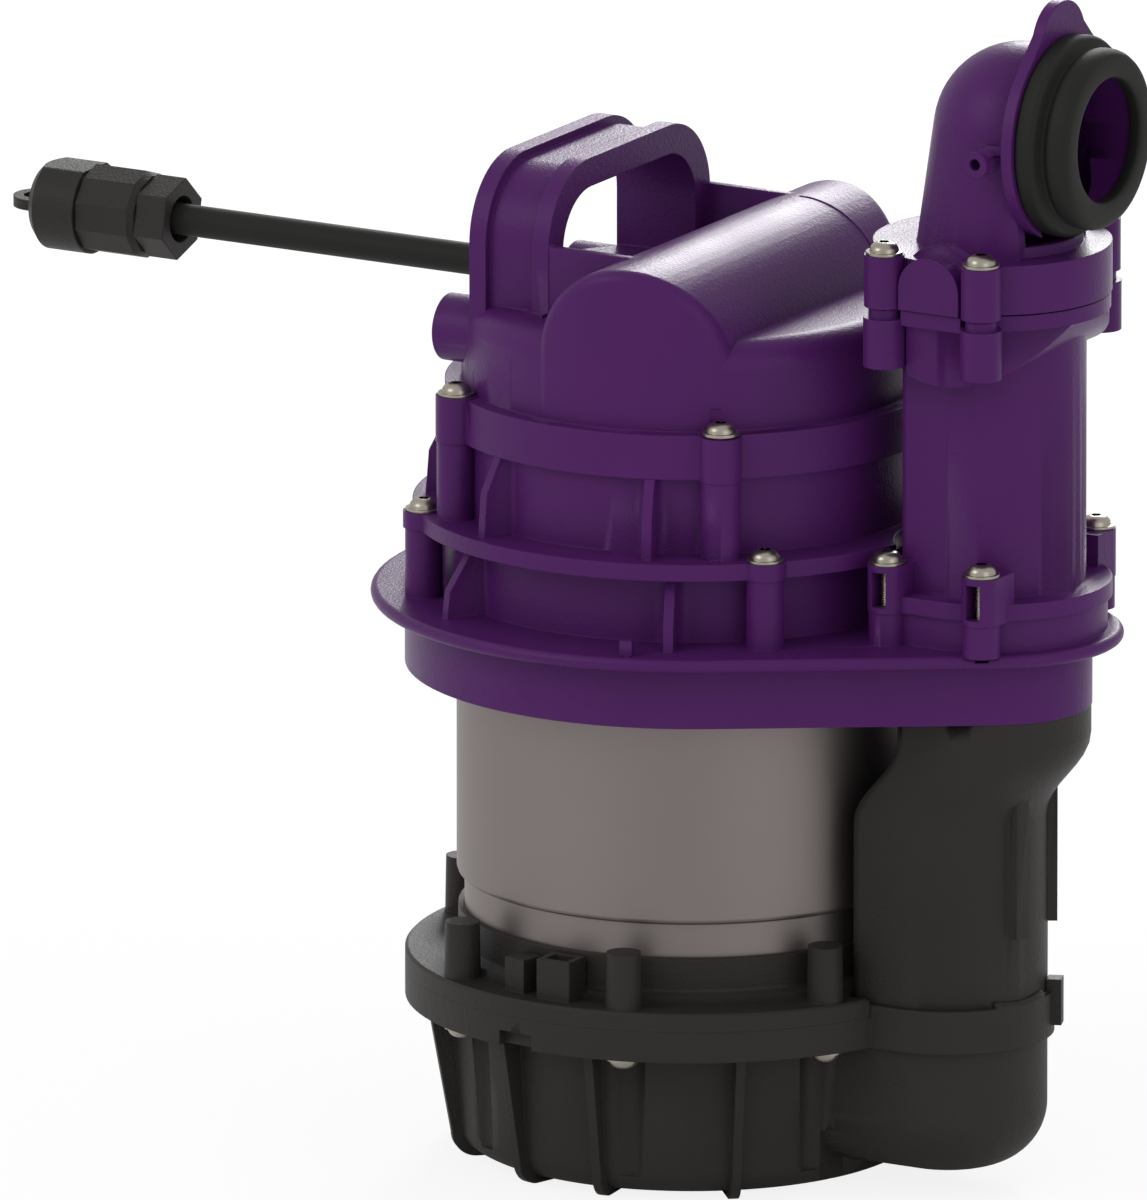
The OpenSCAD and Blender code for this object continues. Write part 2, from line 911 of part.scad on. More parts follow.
module base_dish()
{
  color(purple)
    difference() {
      union() {
        translate([0, 0, rim_z])
          rounded_lobed(rim_r, rim_lobe_r, pipe_x, rim_t);
        translate([0, 0, dish_z])
          linear_extrude(rim_z - dish_z + eps)
            difference() {
              lobed(dish_r, dish_lobe_r, pipe_x);
              lobed(dish_r - wall, dish_lobe_r - wall, pipe_x);
            }
        translate([0, 0, dish_z + 4])
          tube(collar_r, can_r + fit, rim_z - dish_z - 4 + eps);
        translate([pipe_x, 0, riser_top])
          linear_extrude(rim_z - riser_top + eps)
            duct_ring(dish_lobe_r - eps, socket_back + dish_lobe_r - socket_r, riser_corner,
              dish_lobe_r - eps - socket_r);
        translate([0, 0, upper_bearing_z - 2])
          tube(bearing_r + 6, bearing_r - 3, rim_z - upper_bearing_z + 2 + eps);
        translate([0, 0, rim_top - eps])
          tube(step_r, step_r - wall, ledge_z - rim_top + eps);
        translate([pipe_x, 0, rim_top - eps])
          linear_extrude(pipe_z - rim_top + eps)
            duct(dish_collar_r - 1.5, base_half_x + 3, 3);
        around(ledge_angles, ledge_screw_r)
          translate([0, 0, rim_top - eps])
            cylinder(r = post_r - 0.3, h = ledge_z - rim_top + eps);
        corners(base_half_x, base_half_y)
          translate([0, 0, rim_top - eps])
            cylinder(r = post_r - 0.3, h = pipe_z - rim_top + eps);
        around(gusset_angles, 0)
          gusset(92, 9, 82, rim_top, ledge_z, step_r);
        rotate([0, 0, -72.5])
          translate([rim_tab_r, -2, rim_top - eps])
            cube([4, 4, 5]);
      }
      translate([0, 0, upper_bearing_z])
        cylinder(r = bearing_r, h = rim_z - upper_bearing_z - 2);
      translate([0, 0, can_top - 6])
        tube(can_r + 1.4, can_r - 1, 3);
      translate([pipe_x, 0, rim_z - 1])
        cylinder(r = duct_r, h = pipe_z);
      translate([pipe_x, 0, pipe_z - 6 - pipe_seal_t])
        cylinder(r = socket_r, h = 10);
      translate([0, 0, upper_bearing_z - 3])
        cylinder(r = bearing_r - 3, h = 4);
      around(ledge_angles, ledge_screw_r)
        translate([0, 0, ledge_z - thread_in - 3])
          cylinder(r = hole_r, h = thread_in + 4);
      corners(base_half_x, base_half_y)
        translate([0, 0, rim_top - 2])
          cylinder(r = hole_r, h = pipe_z);
      translate([0, 0, ledge_z - 1.5])
        tube(step_r - 0.8, step_r - 2.4, 3);
    }
}

module ledge_seal()
{
  color(rubber)
    translate([0, 0, ledge_z - 1.5])
      tube(step_r - 0.8, step_r - 2.4, 1.5);
}

// Middle housing

module mid_housing()
{
  color(purple)
    difference() {
      union() {
        translate([0, 0, ledge_z])
          tube(ledge_r, mid_r - wall, ledge_t);
        translate([0, 0, ledge_z])
          tube(mid_r, mid_r - wall, cover_z - ledge_z);
        around(ledge_angles, ledge_screw_r)
          translate([0, 0, ledge_z])
            cylinder(r = boss_r, h = ledge_t);
        around(cover_angles, cover_screw_r)
          translate([0, 0, ledge_z])
            cylinder(r = post_r, h = cover_z - ledge_z);
        around(cover_angles, 0)
          translate([mid_r - 2, -1.6, ledge_z])
            cube([8, 3.2, cover_z - ledge_z]);
        around(upper_gusset_angles, 0)
          gusset(85, 14, 78.5, ledge_top, cover_z, mid_r);
      }
      translate([pipe_x, 0, ledge_z - 1])
        cylinder(r = pipe_r + 1.2, h = 60);
      around(ledge_angles, ledge_screw_r)
        translate([0, 0, ledge_z - 1])
          cylinder(r = hole_r, h = ledge_t + 2);
      around(cover_angles, cover_screw_r)
        translate([0, 0, cover_z - thread_in - 3])
          cylinder(r = hole_r, h = thread_in + 4);
      translate([0, 0, cover_z - 1.5])
        tube(mid_r - 0.8, mid_r - 2.4, 3);
    }
}

module ledge_screws()
{
  color(steel)
    around(ledge_angles, ledge_screw_r)
      translate([0, 0, ledge_top])
        screw(ledge_t + thread_in);
}

module cover_seal()
{
  color(rubber)
    translate([0, 0, cover_z - 1.5])
      tube(mid_r - 0.8, mid_r - 2.4, 1.5);
}

// Top cover with its handle

// Outline of the handle's arch, seen along the width
module arch(half, top, round_r, foot)
{
  translate([-half, foot])
    square([2 * half, top - foot - round_r]);
  translate([round_r - half, top - round_r - eps])
    square([2 * (half - round_r), round_r + eps]);
  for (s = [-1, 1])
    translate([s * (half - round_r), top - round_r])
      circle(round_r);
}

module handle()
{
  foot = 255;
  flange = 6;
  depth = 2.6;
  round_r = 26;
  translate([handle_x - handle_w / 2, 0, 0])
    rotate([90, 0, 90])
      difference() {
        linear_extrude(handle_w)
          difference() {
            arch(handle_y, handle_z, round_r, foot);
            arch(handle_y - handle_t, handle_z - handle_t, round_r - 8, foot - 1);
          }
        translate([0, 0, flange])
          linear_extrude(handle_w - 2 * flange)
            difference() {
              translate([-60, foot - 1])
                square([120, 90]);
              arch(handle_y - depth, handle_z - depth, round_r - depth, foot - 2);
            }
      }
}

module dome(inset)
{
  r = dome_r - inset;
  z = deck_z - inset;
  round_r = deck_round - inset;
  low = inset > 0 ? cover_z - 1 : cover_z;
  rotate_extrude() {
    translate([0, low])
      square([r, z - round_r - low]);
    translate([0, z - round_r - eps])
      square([r - round_r, round_r + eps]);
    translate([r - round_r, z - round_r])
      circle(round_r);
  }
}

// Long round hump over the capacitor, its ends flush with a cylinder
module hump_body(end_r, r, low)
{
  intersection() {
    translate([0, 0, low])
      cylinder(r = end_r, h = 120, $fn = 64);
    translate([hump_x, 0, 0])
      union() {
        translate([0, -90, hump_z])
          rotate([-90, 0, 0])
            cylinder(r = r, h = 180, $fn = 64);
        translate([-r, -90, low])
          cube([2 * r, 180, hump_z - low]);
      }
  }
}

// The hump's outside, with rounded end edges
module hump_shell()
{
  round_r = 6;
  intersection() {
    minkowski() {
      hump_body(hump_end_r - round_r, hump_r - round_r, cover_z);
      sphere(round_r, $fn = 16);
    }
    translate([-100, -100, cover_z])
      cube(200);
  }
}

// Concave fillets along both feet of the hump
module hump_fillets()
{
  r = 6;
  x = sqrt(pow(hump_r + r, 2) - pow(deck_z + r - hump_z, 2));
  k = hump_r / (hump_r + r);
  intersection() {
    translate([hump_x, 0, 0])
      for (s = [-1, 1])
        rotate([90, 0, 0])
          translate([0, 0, -80])
            linear_extrude(160)
              difference() {
                polygon([
                  [s * x, deck_z - 3], [s * x, deck_z],
                  [s * (x * k + 0.02), hump_z + (deck_z + r - hump_z) * k], [s * (x * k - 3), deck_z - 3]
                ]);
                translate([s * x, deck_z + r])
                  circle(r);
              }
    translate([0, 0, deck_low])
      cylinder(r = dome_r - deck_round, h = 60);
  }
}

module top_cover()
{
  rib_low = deck_z - 20;
  rib_top = hump_z + hump_r - 0.5;
  post_face = handle_x + handle_w / 2;
  color(purple)
    difference() {
      union() {
        dome(0);
        hump_shell();
        hump_fillets();
        intersection() {
          handle();
          translate([-100, -100, deck_low - 6])
            cube([200, 200, 200]);
        }
        translate([0, 0, cover_z])
          tube(band_r, dome_in_r, band_h);
        for (s = [-1, 1])
          translate([post_face - eps, s * (handle_y - 1.8) - 1.6, rib_low])
            cube([hump_x - post_face - 4, 3.2, rib_top - rib_low]);
        around(cover_angles, cover_screw_r)
          translate([0, 0, cover_z])
            cylinder(r = boss_r, h = cover_seat_z - cover_z);
        for (s = [-1, 1])
          translate([gland_end, s * gland_y, gland_z])
            rotate([0, 90, 0])
              cylinder(r = gland_r, h = 20);
      }
      dome(wall);
      hump_body(dome_r - wall, hump_r - wall, cover_z - 1);
      translate([pipe_x, 0, cover_z - 1])
        cylinder(r = pipe_r + 1.2, h = 60);
      around(cover_angles, cover_screw_r)
        translate([0, 0, cover_z - 1])
          cylinder(r = hole_r, h = band_h + 5);
      around(cover_angles, cover_screw_r)
        translate([0, 0, cover_seat_z])
          cylinder(r = head_r + 0.2, h = head_h + 3);
      translate([gland_end - 1, gland_y, gland_z])
        rotate([0, 90, 0])
          cylinder(r = lead_r + 2.3, h = 30);
    }
}

module cover_screws()
{
  color(steel)
    around(cover_angles, cover_screw_r)
      translate([0, 0, cover_seat_z])
        screw(cover_seat_z - cover_z + thread_in);
}

// Electrical parts

module capacitor()
{
  color("gainsboro")
    translate([hump_x, -40, hump_z + 4])
      rotate([-90, 0, 0]) {
        cylinder(r = 20, h = 84);
        translate([0, 0, 84])
          cylinder(r = 17, h = 3);
      }
}

module capacitor_clip()
{
  crown = hump_r - wall - 4;
  color("silver")
    translate([hump_x, -7, hump_z + 4])
      rotate([-90, 0, 0])
        difference() {
          union() {
            cylinder(r = 22.5, h = 14);
            translate([-6, 0.7 - crown, 0])
              cube([12, crown - 21, 14]);
          }
          translate([0, 0, -eps])
            cylinder(r = 20 + fit, h = 15);
        }
}

module terminal_block()
{
  color("ivory")
    translate([-45, -18, rim_top])
      difference() {
        cube([22, 36, 14]);
        for (i = [0:3])
          translate([4, 3 + i * 8, 6])
            cube([14, 6, 10]);
      }
}

module cable_gland()
{
  color(rubber)
    translate([gland_end + 1, gland_y, gland_z])
      rotate([0, 90, 0])
        tube(lead_r + 2.3 - fit / 2, lead_r + fit / 2, 10);
}

// Discharge pipe

// Screw tower of the pipe's foot, open on its outer side
module pipe_tower(side)
{
  h = base_seat_z - pipe_z;
  difference() {
    union() {
      cylinder(r = post_r, h = h);
      translate([-post_r, side > 0 ? -10 : 0, 0])
        cube([2 * post_r, 10, h]);
    }
    translate([-2.6, side > 0 ? 0 : -10, 2])
      cube([5.2, 10, h - 4]);
  }
}

// Flared head under the elbow, deeper on its flat sides
module pipe_head()
{
  bell_r = 37;
  low = elbow_z - 24;
  intersection() {
    translate([pipe_x, 0, low])
      linear_extrude(24) {
        circle(bell_r);
        translate([-10.5, -bell_r])
          square([10.5, 2 * bell_r]);
      }
    translate([pipe_x + 3, 60, low + bell_r])
      rotate([90, 0, 0])
        cylinder(r = bell_r, h = 120);
  }
}

module discharge_pipe()
{
  foot_t = 5.5;
  color(purple)
    difference() {
      union() {
        translate([pipe_x, 0, pipe_z - 6])
          cylinder(r = spigot_r, h = 10);
        translate([pipe_x, 0, pipe_z])
          linear_extrude(foot_t)
            duct(dish_collar_r, base_half_x, 3);
        translate([pipe_x, 0, pipe_z])
          linear_extrude(elbow_z - 12 - pipe_z)
            duct(pipe_r, pipe_back, 3);
        pipe_head();
        translate([pipe_x, 0, elbow_z - 5])
          cylinder(r = 37.6, h = 5);
        for (sx = [-1, 1], sy = [-1, 1])
          translate([pipe_x + sx * base_half_x, sy * base_half_y, pipe_z])
            pipe_tower(sy);
        corners(top_half_x, top_half_y) {
          translate([0, 0, elbow_z - 19])
            cylinder(r = boss_r, h = 16);
          translate([0, 0, elbow_z - 4])
            cylinder(r = 5, h = 4);
        }
        translate([pipe_x - 10.9, -40, elbow_z - 5])
          cube([21.8, 80, 5]);
      }
      translate([pipe_x, 0, pipe_z - 10])
        cylinder(r = duct_r - 1, h = seat_z - 4 - pipe_z + 10);
      translate([pipe_x, 0, seat_z - 5])
        cylinder(r = seat_r, h = 10);
      translate([neck_x, 0, seat_z])
        cylinder(r = neck_in_r, h = 10);
      translate([neck_x - pocket_w / 2, hinge_y - knuckle_r - hinge_room, seat_z - 1])
        cube([pocket_w, 14, 20]);
      corners(base_half_x, base_half_y)
        translate([0, 0, pipe_z - 1])
          cylinder(r = hole_r, h = 30);
      corners(top_half_x, top_half_y)
        translate([0, 0, elbow_z - 16])
          cylinder(r = hole_r, h = 30);
      translate([neck_x, 0, elbow_z - 1.5])
        tube(neck_in_r + 8.5, neck_in_r + 6, 3);
    }
}

module pipe_seal()
{
  color(rubber)
    translate([pipe_x, 0, pipe_z - 6 - pipe_seal_t])
      tube(spigot_r, duct_r, pipe_seal_t);
}

module pipe_screws()
{
  color(steel)
    corners(base_half_x, base_half_y)
      translate([0, 0, base_seat_z])
        screw(base_seat_z - rim_top - 1);
}

// Non-return flap

module flap()
{
  color(rubber)
    difference() {
      union() {
        translate([neck_x, 0, flap_z])
          cylinder(r = flap_r, h = flap_t);
        translate([neck_x, 0, flap_z + flap_t - eps])
          cylinder(r = flap_r - 6, h = 1);
        translate([neck_x - knuckle_w / 2, hinge_y, hinge_z])
          rotate([0, 90, 0])
            cylinder(r = knuckle_r, h = knuckle_w);
        for (s = [-1, 1])
          translate([neck_x + s * 4.5 - 1.5, hinge_y, flap_z])
            cube([3, 10, hinge_z - flap_z]);
      }
      translate([neck_x - knuckle_w, hinge_y, hinge_z])
        rotate([0, 90, 0])
          cylinder(r = hinge_pin_r + hinge_fit, h = 2 * knuckle_w);
    }
}

module hinge_pin()
{
  color(steel)
    translate([neck_x - 11, hinge_y, hinge_z])
      rotate([0, 90, 0])
        cylinder(r = hinge_pin_r, h = 22);
}

module elbow_seal()
{
  color(rubber)
    translate([neck_x, 0, elbow_z - 1.5])
      tube(neck_in_r + 8.5, neck_in_r + 6, 2);
}

// Elbow

module elbow_shape(neck, bend, $fn = 64)
{
  hull() {
    translate([neck_x, 0, elbow_z + 0.5])
      cylinder(r = neck, h = eps);
    translate([bend_x, 0, outlet_z])
      sphere(bend);
  }
}

module outlet_plate()
{
  tab_top = tab_h - 14;
  translate([disc_x, 0, outlet_z])
    rotate([90, 0, 90])
      linear_extrude(disc_t) {
        circle(disc_r);
        translate([0, tab_top])
          circle(14);
        polygon([
          [-26, 21.4], [-13, tab_top + 5.2], [13, tab_top + 5.2], [26, 21.4]
        ]);
      }
}

// Arched block across the flange, along Y
module elbow_arch(r, half, z)
{
  translate([pipe_x - r, -half, elbow_z + 0.5])
    cube([2 * r, 2 * half, z - elbow_z + 0.5]);
  intersection() {
    translate([pipe_x, half, z])
      rotate([90, 0, 0])
        cylinder(r = r, h = 2 * half);
    translate([pipe_x - r, -half, z - 4])
      cube([2 * r, 2 * half, r + 8]);
  }
}

module elbow()
{
  base = elbow_z + 0.5;
  color(purple)
    difference() {
      union() {
        intersection() {
          elbow_shape(neck_r, bend_r);
          translate([disc_x - 100 + eps, -50, elbow_z])
            cube(100);
        }
        outlet_plate();
        translate([disc_x, 0, outlet_z])
          rotate([0, 90, 0])
            cylinder(r = spout_r, h = spout_x - disc_x);
        translate([pipe_x, 0, base])
          cylinder(r = elbow_flange_r, h = elbow_t - 1);
        corners(top_half_x, top_half_y)
          translate([0, 0, base])
            cylinder(r = boss_r - 0.3, h = elbow_t);
        elbow_arch(arch_r, arch_y, base + 7);
        elbow_arch(arch_r + 3, arch_y - 8.5, base + 6.5);
        translate([nozzle_x, nozzle_root_y, nozzle_z])
          rotate([90, 0, 0])
            cylinder(r = nozzle_r, h = nozzle_l);
        translate([nozzle_x, nozzle_root_y - 6, nozzle_z + 2])
          cube([disc_x - nozzle_x, 4, 3]);
      }
      elbow_shape(neck_in_r, bend_in_r);
      translate([bend_x, 0, outlet_z])
        rotate([0, 90, 0])
          cylinder(r = spout_in_r, h = 40);
      translate([neck_x - pocket_w / 2, hinge_y - knuckle_r - hinge_room, base - 1])
        cube([pocket_w, 14, 10]);
      translate([neck_x - 11.2, hinge_y, hinge_z])
        rotate([0, 90, 0])
          cylinder(r = hinge_pin_r + fit / 2, h = 22.4);
      corners(top_half_x, top_half_y)
        translate([0, 0, base - 1])
          cylinder(r = hole_r, h = elbow_t + 2);
      translate([nozzle_x, nozzle_root_y + 10, nozzle_z])
        rotate([90, 0, 0])
          cylinder(r = nozzle_in_r, h = nozzle_l + 17);
    }
}

module elbow_screws()
{
  color(steel)
    corners(top_half_x, top_half_y)
      translate([0, 0, elbow_top])
        screw(elbow_t + thread_in);
}

module outlet_seal()
{
  face = disc_x + disc_t;
  seal_in_r = spout_r + fit / 2;
  color(rubber)
    translate([0, 0, outlet_z])
      rotate([0, 90, 0])
        rotate_extrude()
          polygon([
            [seal_in_r, face], [32.3, face], [32.3, face + 6.2], [31.6, face + 7], [28.2, face + 7.6],
            [27.8, face + 8.6], [28.5, face + 9.2], [bead_r, face + 10], [bead_r, face + 14],
            [28, seal_front - 1], [26, seal_front], [outlet_r + 0.6, seal_front], [outlet_r, seal_front - 0.6],
            [outlet_r, spout_x], [seal_in_r, spout_x]
          ]);
}

// Lead and plug

// Rings of points about a path that runs along X, and the faces between them
module swept_tube(path, r, sides)
{
  rings = len(path);
  points = [
    for (p = path, i = [0:sides - 1])
      p + [0, r * cos(i * 360 / sides), r * sin(i * 360 / sides)]
  ];
  walls = [
    for (k = [0:rings - 2], i = [0:sides - 1])
      let (a = k * sides + i, b = k * sides + (i + 1) % sides)
        [a, b, b + sides, a + sides]
  ];
  first = [for (i = [0:sides - 1]) sides - 1 - i];
  last = [for (i = [0:sides - 1]) (rings - 1) * sides + i];
  polyhedron(points, concat([first], walls, [last]));
}

module lead()
{
  color(rubber)
    swept_tube(lead_path, lead_r, 12);
}

module plug_nut()
{
  color(black)
    translate([plug_x, gland_y, gland_z])
      rotate([0, -90, 0])
        rotate([0, 0, 12])
          difference() {
            cylinder(r = 13.4, h = plug_x - body_x, $fn = 6);
            translate([0, 0, -eps])
              cylinder(r = 7.5, h = 6);
            translate([0, 0, 1])
              cylinder(r = lead_r + 0.3, h = 20);
          }
}

module plug_body()
{
  color(black)
    translate([body_x, gland_y, gland_z])
      rotate([0, -90, 0])
        difference() {
          union() {
            cylinder(r1 = plug_r - 1.5, r2 = plug_r, h = 2, $fn = 10);
            translate([0, 0, 2 - eps])
              cylinder(r = plug_r, h = body_x - cap_x - 2, $fn = 10);
            translate([0, 0, body_x - cap_x - eps])
              cylinder(r = 11.5, h = 11);
          }
          translate([0, 0, -eps])
            cylinder(r = lead_r + 0.3, h = 6);
          translate([0, 0, body_x - cap_x + 3])
            cylinder(r = 9.5, h = 20);
        }
}

module plug_contacts()
{
  color("gold")
    for (i = [0:3])
      translate([cap_x - 3, gland_y, gland_z])
        rotate([0, -90, 0])
          rotate([0, 0, 45 + i * 90])
            translate([5, 0, 0])
              cylinder(r = contact_r, h = 6, $fn = 24);
}

// Pull-off cap with its eye
module plug_cap()
{
  eye_z = cap_l + 2.3;
  eye_t = 3.4;
  color(black)
    translate([cap_x - 0.3, gland_y, gland_z])
      rotate([0, -90, 0])
        difference() {
          union() {
            cylinder(r = cap_r, h = cap_l - 3);
            translate([0, 0, cap_l - 3 - eps])
              cylinder(r1 = cap_r, r2 = cap_r - 3, h = 3);
            translate([-eye_t / 2, -9, cap_l - 2])
              cube([eye_t, 18, eye_z - cap_l + 2]);
            translate([-eye_t / 2, 0, eye_z])
              rotate([0, 90, 0])
                cylinder(r = 9, h = eye_t);
          }
          translate([0, 0, -eps])
            cylinder(r = 11.8, h = 11.5);
          for (y = [-1, 1])
            translate([-5, y, eye_z + 1.5])
              rotate([0, 90, 0])
                cylinder(r = 4, h = 10);
          translate([-5, -1, eye_z - 2.5])
            cube([10, 2, 8]);
          translate([13.2, -10, -1])
            cube([5, 20, 30]);
        }
}

volute();
volute_seal();
volute_screws();
cover_plate();
riser();
riser_seals();
seal_seat();
seal_ring();
seal_spring();
impeller();
impeller_nut();
shaft();
rotor_core();
lower_race();
upper_race();
lower_bearing();
upper_bearing();
lower_shield();
stator_core();
windings();
motor_can();
can_seals();
base_dish();
ledge_seal();
mid_housing();
ledge_screws();
cover_seal();
top_cover();
cover_screws();
capacitor();
capacitor_clip();
terminal_block();
cable_gland();
discharge_pipe();
pipe_seal();
pipe_screws();
flap();
hinge_pin();
elbow_seal();
elbow();
elbow_screws();
outlet_seal();
lead();
plug_nut();
plug_body();
plug_contacts();
plug_cap();
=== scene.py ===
"""Looks of a submersible drainage pump with a steel can, moulded housings, a side riser and a lead.

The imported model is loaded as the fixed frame. The classes below dress its pieces and model the
lead, the plug and the softened mouldings that show.
"""

import json
import logging
import math
from collections.abc import Callable
from dataclasses import dataclass, field
from enum import Enum

import bmesh
import bpy
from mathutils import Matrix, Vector

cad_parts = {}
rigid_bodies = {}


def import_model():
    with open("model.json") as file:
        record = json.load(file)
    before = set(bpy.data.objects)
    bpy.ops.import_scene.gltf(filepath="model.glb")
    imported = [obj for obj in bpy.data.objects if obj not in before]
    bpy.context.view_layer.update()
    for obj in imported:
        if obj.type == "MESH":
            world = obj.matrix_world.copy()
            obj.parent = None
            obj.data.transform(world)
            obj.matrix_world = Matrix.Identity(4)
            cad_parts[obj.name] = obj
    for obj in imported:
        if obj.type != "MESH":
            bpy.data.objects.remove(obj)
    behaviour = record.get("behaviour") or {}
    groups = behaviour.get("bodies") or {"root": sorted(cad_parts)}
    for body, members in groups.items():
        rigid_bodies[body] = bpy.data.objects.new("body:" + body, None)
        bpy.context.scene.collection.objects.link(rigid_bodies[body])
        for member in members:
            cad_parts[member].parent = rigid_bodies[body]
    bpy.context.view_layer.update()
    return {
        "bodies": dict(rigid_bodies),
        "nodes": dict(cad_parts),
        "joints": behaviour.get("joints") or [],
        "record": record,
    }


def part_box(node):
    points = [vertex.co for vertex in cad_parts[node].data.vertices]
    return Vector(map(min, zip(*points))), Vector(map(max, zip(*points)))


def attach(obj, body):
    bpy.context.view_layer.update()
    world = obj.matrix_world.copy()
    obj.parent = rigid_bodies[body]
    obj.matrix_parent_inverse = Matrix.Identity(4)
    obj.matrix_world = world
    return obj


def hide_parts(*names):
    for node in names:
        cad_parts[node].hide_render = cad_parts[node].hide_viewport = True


LOG = logging.getLogger("pump")
MM = 0.001
FACING = 0.95  # least cosine between a face's normal and the way that it is said to look
NEAR = 0.1  # slack in millimetres when parts of a mesh are picked by their height
WALL_ANGLE = 28.0  # edges of curved walls flatter than this many degrees are shaded smooth

Piece = bpy.types.Object
Pair = tuple[float, float]
Triple = tuple[float, float, float]


class Body(Enum):
    """Bodies that the modelled pieces ride on."""

    PUMP = "pump"
    CAP = "cap"


class Way(Enum):
    """Direction in which a screw's head looks, as the turn about X that brings it there."""

    UP = 0.0
    DOWN = math.pi


def leave_edit() -> None:
    """Go back to object mode."""
    bpy.ops.object.mode_set(mode="OBJECT")


def select_none() -> None:
    """Leave edit mode and select nothing."""
    if bpy.context.object and bpy.context.object.mode != "OBJECT":
        leave_edit()
    bpy.ops.object.select_all(action="DESELECT")


def take(piece: Piece) -> None:
    """Select one piece alone and make it active."""
    select_none()
    piece.select_set(True)
    bpy.context.view_layer.objects.active = piece


def apply_modifiers(piece: Piece) -> None:
    """Apply every modifier of a piece in order."""
    take(piece)
    for name in [m.name for m in piece.modifiers]:
        bpy.ops.object.modifier_apply(modifier=name)


def apply_place(piece: Piece) -> None:
    """Move a piece's place, turn and scale into its mesh."""
    take(piece)
    bpy.ops.object.transform_apply(location=True, rotation=True, scale=True)


def smooth(piece: Piece, angle: float = 32.0) -> None:
    """Shade a piece smooth across edges flatter than an angle in degrees."""
    take(piece)
    bpy.ops.object.shade_smooth_by_angle(angle=math.radians(angle))


def weigh(piece: Piece) -> None:
    """Let the large faces of a piece set the shading of the small ones beside them."""
    take(piece)
    even = piece.modifiers.new("even_shading", "WEIGHTED_NORMAL")
    even.mode = "FACE_AREA"
    even.weight = 60
    even.keep_sharp = True
    apply_modifiers(piece)


def remove(piece: Piece) -> None:
    """Delete a piece and leave nothing selected."""
    take(piece)
    bpy.ops.object.delete()
    select_none()


def edit(piece: Piece, action: str = "SELECT") -> None:
    """Open a piece in edit mode, with all of it selected or, for DESELECT, nothing."""
    take(piece)
    bpy.ops.object.mode_set(mode="EDIT")
    bpy.ops.mesh.select_all(action=action)


def pick(piece: Piece, kind: str, wanted: Callable) -> None:
    """Select only the parts of a mesh that a test accepts.

    Args:
        piece: The object, already in edit mode.
        kind: Which parts are tested: verts, edges or faces.
        wanted: Test that takes one part, in metres.
    """
    bpy.ops.mesh.select_all(action="DESELECT")
    mesh = bmesh.from_edit_mesh(piece.data)
    for item in getattr(mesh, kind):
        if wanted(item):
            item.select_set(True)
    bmesh.update_edit_mesh(piece.data)


def pick_faces(piece: Piece, normal: Vector) -> None:
    """Select the faces of a piece in edit mode that look along a normal."""
    pick(piece, "faces", lambda face: face.normal.dot(normal) > FACING)


def draw_on(steps: tuple[Pair, ...], radius: float, start: float) -> None:
    """Extrude the selected faces or edges in steps along Z, about the Z axis.

    Args:
        steps: Radius and height reached by each step, in metres.
        radius: Radius of the selection before the first step.
        start: Height of the selection before the first step.
    """
    for reach, height in steps:
        bpy.ops.mesh.extrude_region_move(TRANSFORM_OT_translate={"value": (0.0, 0.0, height - start)})
        share = reach / radius
        bpy.ops.transform.resize(value=(share, share, 1.0), center_override=(0.0, 0.0, height))
        radius, start = reach, height


def turned_ring(name: str, rings: tuple[Pair, ...], sides: int = 96) -> Piece:
    """Make a closed ring about Z from the corners of its section.

    Args:
        name: The piece's name.
        rings: Radius and height of each corner in order round the section, in metres.
        sides: Number of sides of the ring.

    Returns:
        The new piece, at the origin.
    """
    select_none()
    first, second = rings[0], rings[1:]
    bpy.ops.mesh.primitive_circle_add(vertices=sides, radius=first[0], location=(0.0, 0.0, first[1]))
    piece = bpy.context.object
    piece.name = name
    apply_place(piece)
    edit(piece)
    draw_on(second, *first)
    pick(piece, "edges", lambda edge: edge.is_boundary)
    bpy.ops.mesh.bridge_edge_loops()
    bpy.ops.mesh.select_all(action="SELECT")
    bpy.ops.mesh.normals_make_consistent(inside=False)
    leave_edit()
    return piece


def soften(piece: Piece, width: float, segments: int = 3, angle: float = 30.0) -> None:
    """Round the sharp edges of a piece and shade it smooth.

    Args:
        piece: The object to round.
        width: Width of the rounding, in metres.
        segments: Number of faces across the rounding.
        angle: Least angle of an edge that is rounded, in degrees.
    """
    take(piece)
    bevel = piece.modifiers.new("rounding", "BEVEL")
    bevel.width = width
    bevel.segments = segments
    bevel.limit_method = "ANGLE"
    bevel.angle_limit = math.radians(angle)
    apply_modifiers(piece)
    smooth(piece)


def merged_with(piece: Piece, other: Piece, operation: str) -> None:
    """Combine one closed piece with another and delete the other.

    Args:
        piece: The object that is changed.
        other: The object that is combined with it.
        operation: Name of the Boolean operation.
    """
    take(piece)
    act = piece.modifiers.new("combine", "BOOLEAN")
    act.operation = operation
    act.solver = "EXACT"
    act.object = other
    apply_modifiers(piece)
    remove(other)


def cut_with(piece: Piece, cutter: Piece) -> None:
    """Cut one closed piece out of another and delete the cutter."""
    merged_with(piece, cutter, "DIFFERENCE")


def block(low: Triple, high: Triple) -> Piece:
    """Make a rectangular block between two corners.

    Args:
        low: The corner nearest to minus infinity, in millimetres.
        high: The opposite corner, in millimetres.

    Returns:
        The new piece, at the origin.
    """
    select_none()
    bpy.ops.mesh.primitive_cube_add(size=1.0, location=[(a + b) / 2 * MM for a, b in zip(low, high)])
    piece = bpy.context.object
    piece.scale = [(b - a) * MM for a, b in zip(low, high)]
    apply_place(piece)
    return piece


